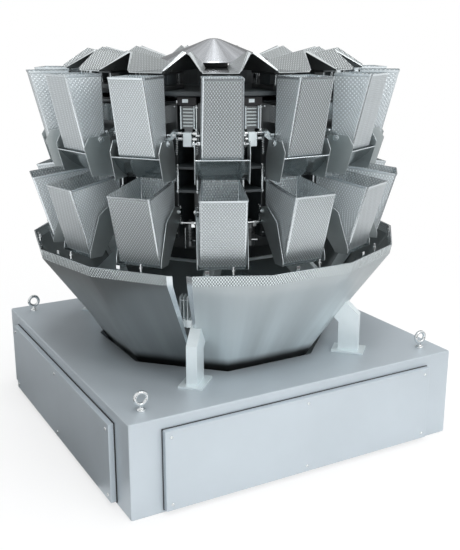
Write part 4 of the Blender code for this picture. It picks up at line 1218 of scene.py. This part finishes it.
class OBJECT_OT_weigher_pool_gates(Operator):
    """Gates under the pool hoppers: a curved flap between two ears, each on its own hinge"""

    bl_idname = "object.weigher_pool_gates"
    bl_label = "Dress Pool Gates"

    def execute(self, context):
        (pivot, pivot_level), (back, back_level) = POOL_PIVOT, POOL_BACK_FOOT
        foot = back_level - GATE_GAP
        front, front_level = POOL_FRONT_FOOT
        lip = (front + 0.007, front_level - GATE_GAP)
        ear = [
            (pivot - 0.024, pivot_level + 0.009), (front - 0.004, pivot_level + 0.009),
            (front + 0.014, front_level + 0.012), (front - 0.010, foot),
            (back + 0.004, foot), (back, foot + 0.004),
            (back, front_level - 0.010), (pivot - 0.030, pivot_level + 0.003),
        ]
        shape = bmesh.new()
        for side in (-1, 1):
            left, right = sorted((side * GATE_HALF, side * (GATE_HALF + 0.0022)))
            add_plate(shape, ear, left, right, 2, 0.0006, cut_index=1)
            boss = Vector((side * (GATE_HALF + 0.001), -pivot, pivot_level))
            add_rod(shape, boss, boss + Vector((side * 0.0045, 0, 0)), 0.009, 18, 1)
        upper = []
        for step in range(GATE_STEPS + 1):
            share = step / GATE_STEPS
            reach, height = between((back, foot), (front + 0.003, lip[1]), share)
            bow = GATE_SAG * 4 * share * (1 - share)
            upper.append((reach + bow * 0.6, height - bow * 0.8))
        lower = [(reach + GATE_SHEET * 0.6, height - GATE_SHEET * 0.8) for reach, height in upper]
        upper.append(lip)
        lower.append((lip[0], lip[1] - GATE_SHEET))
        add_plate(shape, upper + list(reversed(lower)), -GATE_HALF - 0.0008, GATE_HALF + 0.0008, 0)
        ends = [(across, -lip[0], lip[1] - 0.0008) for across in (-GATE_HALF - 0.001, GATE_HALF + 0.001)]
        add_rod(shape, *ends, 0.0017, 10, 1)
        finishes = ["dark gate sheet", "smooth hopper bends", "brushed ear sheet"]
        around("pool_gate_sheet", shape, finishes, node="pool_gate_", body="pool_gate_")
        return {"FINISHED"}


class OBJECT_OT_weigher_weigh_hoppers(Operator):
    """Weigh hoppers of embossed sheet, with a folded back lip and their closed gates"""

    bl_idname = "object.weigher_weigh_hoppers"
    bl_label = "Dress Weigh Hoppers"

    def execute(self, context):
        waist = between(WEIGH_FRONT_TOP, WEIGH_TIP_FRONT, 0.37)
        shape = bmesh.new()
        levels = [
            (WEIGH_BACK_TOP, WEIGH_FRONT_TOP, WEIGH_BACK_HALF, WEIGH_FRONT_HALF),
            (WEIGH_BACK_FOOT, waist, WEIGH_BACK_HALF, WEIGH_FRONT_HALF),
            (WEIGH_TIP_BACK, WEIGH_TIP_FRONT, WEIGH_FRONT_HALF, WEIGH_FRONT_HALF),
        ]
        # The inside (finish 5) and the side panels (finish 7) take lighter copies of the hopper sheet, as
        # painted light
        add_hopper_walls(shape, levels, 5, 7)
        # The folded back lip takes the pale fitting sheet, lighter and less metallic than the hopper, as a
        # painted highlight
        lip = [(0.0028, -0.0115), (0.0040, -0.0105), (-0.0065, 0.0002), (-0.0078, -0.0008)]
        lip = [(WEIGH_BACK_TOP[0] + out, WEIGH_BACK_TOP[1] + up) for out, up in lip]
        add_plate(shape, lip, -WEIGH_BACK_HALF + 0.001, WEIGH_BACK_HALF - 0.001, 6)
        add_weigh_gate(shape)
        finishes = ["embossed hopper sheet", "smooth hopper bends", "bright pin steel", "dark gate sheet"]
        finishes += ["brushed ear sheet", "embossed sheet inside"]
        finishes += ["light fitting sheet", "embossed hopper side"]
        around("weigh_hopper_sheet", shape, finishes, node="weigh_hopper_")
        return {"FINISHED"}


def add_weigh_gate(shape):
    inside, sheet = WEIGH_FRONT_HALF + 0.003, 0.0018
    (pivot, pivot_level), (back, back_level) = WEIGH_PIVOT, WEIGH_BACK_FOOT
    tip_back, foot = WEIGH_TIP_BACK
    tip = WEIGH_TIP_FRONT[0] + 0.004
    ear = [
        (pivot - 0.008, pivot_level + 0.012), (pivot + 0.030, pivot_level + 0.022),
        (tip_back, back_level - 0.010), (tip, foot + 0.010), (tip, foot - 0.008),
        (tip_back - 0.006, foot - 0.008), (pivot - 0.012, back_level - 0.006),
    ]
    for side in (-1, 1):
        left, right = sorted((side * inside, side * (inside + 0.002)))
        add_plate(shape, ear, left, right, 4, 0.0006, cut_index=1)
        pin = Vector((side * (WEIGH_BACK_HALF - 0.001), -pivot, pivot_level))
        out = Vector((side, 0, 0))
        add_rod(shape, pin, pin + out * 0.022, 0.004, 14, 2)
        add_rod(shape, pin + out * 0.0165, pin + out * 0.0205, 0.008, 16, 2)
    flap = foot - GATE_GAP
    upper = [(back + 0.002, back_level - 0.006), (tip_back - GATE_GAP, flap), (tip, flap)]
    lower = [
        (upper[0][0] - 0.0014, upper[0][1] - 0.0012),
        (upper[1][0] - 0.0008, flap - sheet),
        (tip, flap - sheet),
    ]
    add_plate(shape, upper + list(reversed(lower)), -inside - 0.0005, inside + 0.0005, 3)


# Feeders and cone


class OBJECT_OT_weigher_feeders(Operator):
    """Top deck, vibrating drives and the radial troughs of embossed sheet"""

    bl_idname = "object.weigher_feeders"
    bl_label = "Dress Feeders"

    def execute(self, context):
        shape = bmesh.new()
        turn = Matrix.Rotation(math.pi / HEADS + math.pi / 2, 4, "Z")
        low, ease = DECK_TOP - 0.012, 0.002
        profile = [(0, DECK_TOP), (DECK_RADIUS - ease, DECK_TOP), (DECK_RADIUS, DECK_TOP - ease)]
        profile += [(DECK_RADIUS, low + ease), (DECK_RADIUS - ease, low), (0, low)]
        add_turned(shape, profile, HEADS, 0, turn)
        new_piece("deck_plate", shape, ["dark housing coat"], ("feeder_deck",))
        feeder_drives()
        feeder_troughs()
        return {"FINISHED"}


def feeder_drives():
    shape = bmesh.new()
    top = TROUGH_FLOOR - 0.002
    add_block(shape, (-0.035, -0.43, DECK_TOP - 0.001), (0.035, -0.30, DECK_TOP + 0.014), 0, 0.003)
    add_block(shape, (-0.028, -0.395, DECK_TOP + 0.013), (0.028, -0.335, top - 0.006), 1, 0.004)
    add_block(shape, (-0.035, -0.43, top - 0.007), (0.035, -0.30, top), 0, 0.002)
    for reach in (0.312, 0.418):
        for side in (-0.024, 0.024):
            foot, head = (side, -reach, DECK_TOP + 0.012), (side, -reach - 0.006, top - 0.005)
            add_rod(shape, foot, head, 0.004, 12, 2)
    around("feeder_drive", shape, ["dark housing steel", "dark housing coat", "bright pin steel"])


def feeder_troughs():
    """A folded trough: flat floor, flaring sides and an outward lip, highest near the hopper."""
    shape = bmesh.new()
    layer = shape.loops.layers.uv.new(SHEET_UV)
    top, under = [], []
    for reach, floor, half, height, lip in TROUGH_SECTIONS:
        for rows, drop in ((top, 0.0), (under, TROUGH_SHEET)):
            grow = drop * 0.8
            line = [(floor + grow * 0.4, -drop), (half + grow, height - drop * 0.2)]
            line.append((half + lip + grow * 0.3, height - lip / 2 - drop))
            across = [(-x, z) for x, z in reversed(line)] + line
            rows.append([shape.verts.new((x, -reach, TROUGH_FLOOR + z)) for x, z in across])
    for rows in (top, under):
        for near, far in zip(rows, rows[1:]):
            for step, finish in enumerate(TROUGH_FINISH):
                corners = [near[step], near[step + 1], far[step + 1], far[step]]
                face = shape.faces.new(corners if rows is top else list(reversed(corners)))
                face.material_index = finish if rows is top else 3
                for loop in face.loops:
                    place = loop.vert.co
                    loop[layer].uv = (place.y, (place.z if step in (1, 3) else place.x) * 1.2)
    for end in (0, -1):
        add_faces(shape, [top[end], under[end]], 0, False)
    for side in (0, 5):
        for row in range(2):
            shape.faces.new((top[row][side], top[row + 1][side], under[row + 1][side], under[row][side]))
    for face in shape.faces:
        if face.calc_area() < TROUGH_EDGE_AREA:
            face.material_index = 1
    # The floor and the underside take dark copies of the trough sheet, as a painted reflection and painted
    # shade
    finishes = ["embossed trough sheet", "folded trough lip"]
    finishes += ["smooth trough floor", "smooth trough underside"]
    around("feeder_trough", shape, finishes, sharp=20.0)


class OBJECT_OT_weigher_cone(Operator):
    """Dispersion cone with a rolled rim and its drive"""

    bl_idname = "object.weigher_cone"
    bl_label = "Dress Cone"

    def execute(self, context):
        top, rim = CONE_HIGH.z, CONE_LOW.z + 0.003
        radius = CONE_HIGH.x - 0.0008
        shape = bmesh.new()
        profile = [(0, top), (0.012, top - 0.0006), (0.022, top - 0.0028), (0.032, top - 0.0064)]
        profile += [(radius - 0.004, rim + 0.0012), (radius - 0.001, rim - 0.0004), (radius, rim - 0.0020)]
        profile += [(radius - 0.0012, rim - 0.0030), (radius - 0.006, rim - 0.0022)]
        profile += [(0.05, top - 0.0160), (0, top - 0.0160)]
        add_turned(shape, profile, 96)
        unroll(shape, radius)
        new_piece("cone_sheet", shape, ["polished cone sheet"], ("dispersion_cone",))
        give_finish(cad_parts["cone_drive"], "dark housing coat")
        return {"FINISHED"}


# Stage


class OBJECT_OT_weigher_stage(Operator):
    """Pale floor, soft studio light, world and camera"""

    bl_idname = "object.weigher_stage"
    bl_label = "Set Up Stage"

    def execute(self, context):
        scene = context.scene
        scene.view_settings.view_transform = "Standard"
        add_floor()
        scene.world = studio_world()
        for lamp in LAMPS:
            add_lamp(*lamp)
        add_cards()
        data = bpy.data.cameras.new("camera")
        data.lens = sizes().lens
        data.sensor_width = CAMERA_SENSOR
        scene.camera = put("camera", data)
        scene.camera.location = CAMERA_PLACE
        scene.camera.rotation_euler = (CAMERA_TILT, 0.0, CAMERA_TURN)
        return {"FINISHED"}


def add_floor():
    shape = bmesh.new()
    corners = ((-1, -1), (1, -1), (1, 1), (-1, 1))
    corners = [(x * FLOOR_HALF, y * FLOOR_HALF) for x, y in corners]
    shape.faces.new([shape.verts.new((x, y, 0.0)) for x, y in corners])
    floor = put("studio_floor", mesh_of("studio_floor", shape))
    material, tree, shader = new_material("pale floor")
    shader.inputs["Roughness"].default_value = 0.9
    shader.inputs["Specular IOR Level"].default_value = 0.1
    place = add_node(tree, "ShaderNodeTexCoord").outputs["Object"]
    marks = use_group(tree, "Handling marks", {"Vector": place, "Scale": 1.5})["Value"]
    pale = colours().floor
    tree.links.new(blend(tree, marks, pale, scaled(pale, 0.985)), shader.inputs["Base Color"])
    glow = add_node(tree, "ShaderNodeEmission", {"Color": (1.0, 1.0, 1.0, 1.0), "Strength": 1.0})
    away = add_node(tree, "ShaderNodeVectorMath", {0: place}, operation="LENGTH").outputs["Value"]
    share = calculate(tree, "MULTIPLY", seen_directly(tree), ramp(tree, away, 0.7, 2.6, 0.70, soft=True))
    mix = add_node(tree, "ShaderNodeMixShader", {0: share, 1: shader.outputs[0], 2: glow.outputs[0]})
    tree.links.new(mix.outputs[0], tree.nodes["Material Output"].inputs["Surface"])
    floor.data.materials.append(material)


def studio_world():
    """White where it is seen, and brighter towards the photograph's light where it lights."""
    world = bpy.data.worlds.new("studio")
    world.use_nodes = True
    tree = world.node_tree
    back = tree.nodes["Background"]
    back.inputs["Color"].default_value = (1.0, 1.0, 1.0, 1.0)
    seen = seen_directly(tree)
    way = add_node(tree, "ShaderNodeTexCoord").outputs["Generated"]
    inputs = {0: way, 1: tuple(Vector(WORLD_TOWARD).normalized())}
    lit = add_node(tree, "ShaderNodeVectorMath", inputs, operation="DOT_PRODUCT").outputs["Value"]
    ambient = calculate(tree, "MULTIPLY_ADD", lit, WORLD_SWING, WORLD_LEVEL)
    unseen = calculate(tree, "SUBTRACT", 1.0, seen)
    tree.links.new(calculate(tree, "MULTIPLY_ADD", unseen, ambient, seen), back.inputs["Strength"])
    return world


def add_lamp(name, place, aim, size, power, mirrored):
    light = bpy.data.lights.new(name, "AREA")
    light.shape = "SQUARE"
    light.size = size
    light.energy = power
    thing = put(name, light)
    thing.location = place
    thing.rotation_euler = (Vector(aim) - Vector(place)).to_track_quat("-Z", "Y").to_euler()
    thing.visible_glossy = mirrored


def add_cards():
    """Cards and panels round the set that only the metal's reflections see, as a photographer's flags."""
    for number, (first, last, inner, outer, glow) in enumerate(FLOOR_CARDS):
        shape = bmesh.new()
        turns = [math.radians(first + (last - first) * step / CARD_STEPS) for step in range(CARD_STEPS + 1)]
        pairs = [[outward(turn, reach, CARD_LEVEL) for reach in (inner, outer)] for turn in turns]
        add_faces(shape, [[shape.verts.new(point) for point in pair] for pair in pairs], 0, False)
        add_card("floor_card_%d" % (number + 1), shape, glow)
    for name, half, low, high, azimuth, glow in FLAGS:
        shape = bmesh.new()
        place = Matrix.Rotation(-math.radians(azimuth), 4, "Z") @ Matrix.Translation((0, -FLAG_REACH, 0))
        add_block(shape, (-half, -FLAG_HALF, low), (half, FLAG_HALF, high), matrix=place)
        add_card(name, shape, glow)
    shape = bmesh.new()
    over = Matrix.Rotation(CAMERA_TURN, 4, "Z")
    for left, right in ((-2.2, -0.10), (0.10, 2.2)):
        add_block(shape, (left, -1.6, 2.60), (right, 2.6, 2.61), matrix=over)
    add_card("flags_over_cone", shape, 0.70)


def add_card(name, shape, glow):
    material, _, shader = new_material(name)
    for label, value in (
        ("Base Color", (0.0, 0.0, 0.0, 1.0)),
        ("Specular IOR Level", 0.0),
        ("Emission Color", (1.0, 1.0, 1.0, 1.0)),
        ("Emission Strength", glow),
    ):
        shader.inputs[label].default_value = value
    card = put(name, mesh_of(name, shape))
    card.data.materials.append(material)
    card.visible_camera = card.visible_diffuse = card.visible_shadow = False


class VIEW3D_PT_weigher(Panel):
    """Lists the weigher's sizes, colours and steps"""

    bl_label = "Multihead Weigher"
    bl_idname = "VIEW3D_PT_weigher"
    bl_space_type = "VIEW_3D"
    bl_region_type = "UI"
    bl_category = "Weigher"

    def draw(self, context):
        column = self.layout.column(align=True)
        for group in (context.scene.weigher_sizes, context.scene.weigher_colours):
            for name in group.__annotations__:
                column.prop(group, name)
        for operator in OPERATORS:
            column.operator(operator.bl_idname)


OPERATORS = (
    OBJECT_OT_weigher_stage,
    OBJECT_OT_weigher_cabinet,
    OBJECT_OT_weigher_chute,
    OBJECT_OT_weigher_drum,
    OBJECT_OT_weigher_pool_hoppers,
    OBJECT_OT_weigher_pool_gates,
    OBJECT_OT_weigher_weigh_hoppers,
    OBJECT_OT_weigher_feeders,
    OBJECT_OT_weigher_cone,
)
CLASSES = (WeigherSizes, WeigherColours, *OPERATORS, VIEW3D_PT_weigher)


def register():
    for each in CLASSES:
        bpy.utils.register_class(each)
    bpy.types.Scene.weigher_sizes = PointerProperty(type=WeigherSizes)
    bpy.types.Scene.weigher_colours = PointerProperty(type=WeigherColours)


def unregister():
    del bpy.types.Scene.weigher_colours
    del bpy.types.Scene.weigher_sizes
    for each in reversed(CLASSES):
        bpy.utils.unregister_class(each)


def main():
    register()
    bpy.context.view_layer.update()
    build_dimples_group()
    build_grain_group()
    build_marks_group()
    build_materials()
    bpy.ops.object.weigher_stage()
    bpy.ops.object.weigher_cabinet()
    bpy.ops.object.weigher_chute()
    bpy.ops.object.weigher_drum()
    bpy.ops.object.weigher_pool_hoppers()
    bpy.ops.object.weigher_pool_gates()
    bpy.ops.object.weigher_weigh_hoppers()
    bpy.ops.object.weigher_feeders()
    bpy.ops.object.weigher_cone()


if __name__ == "__main__":
    main()
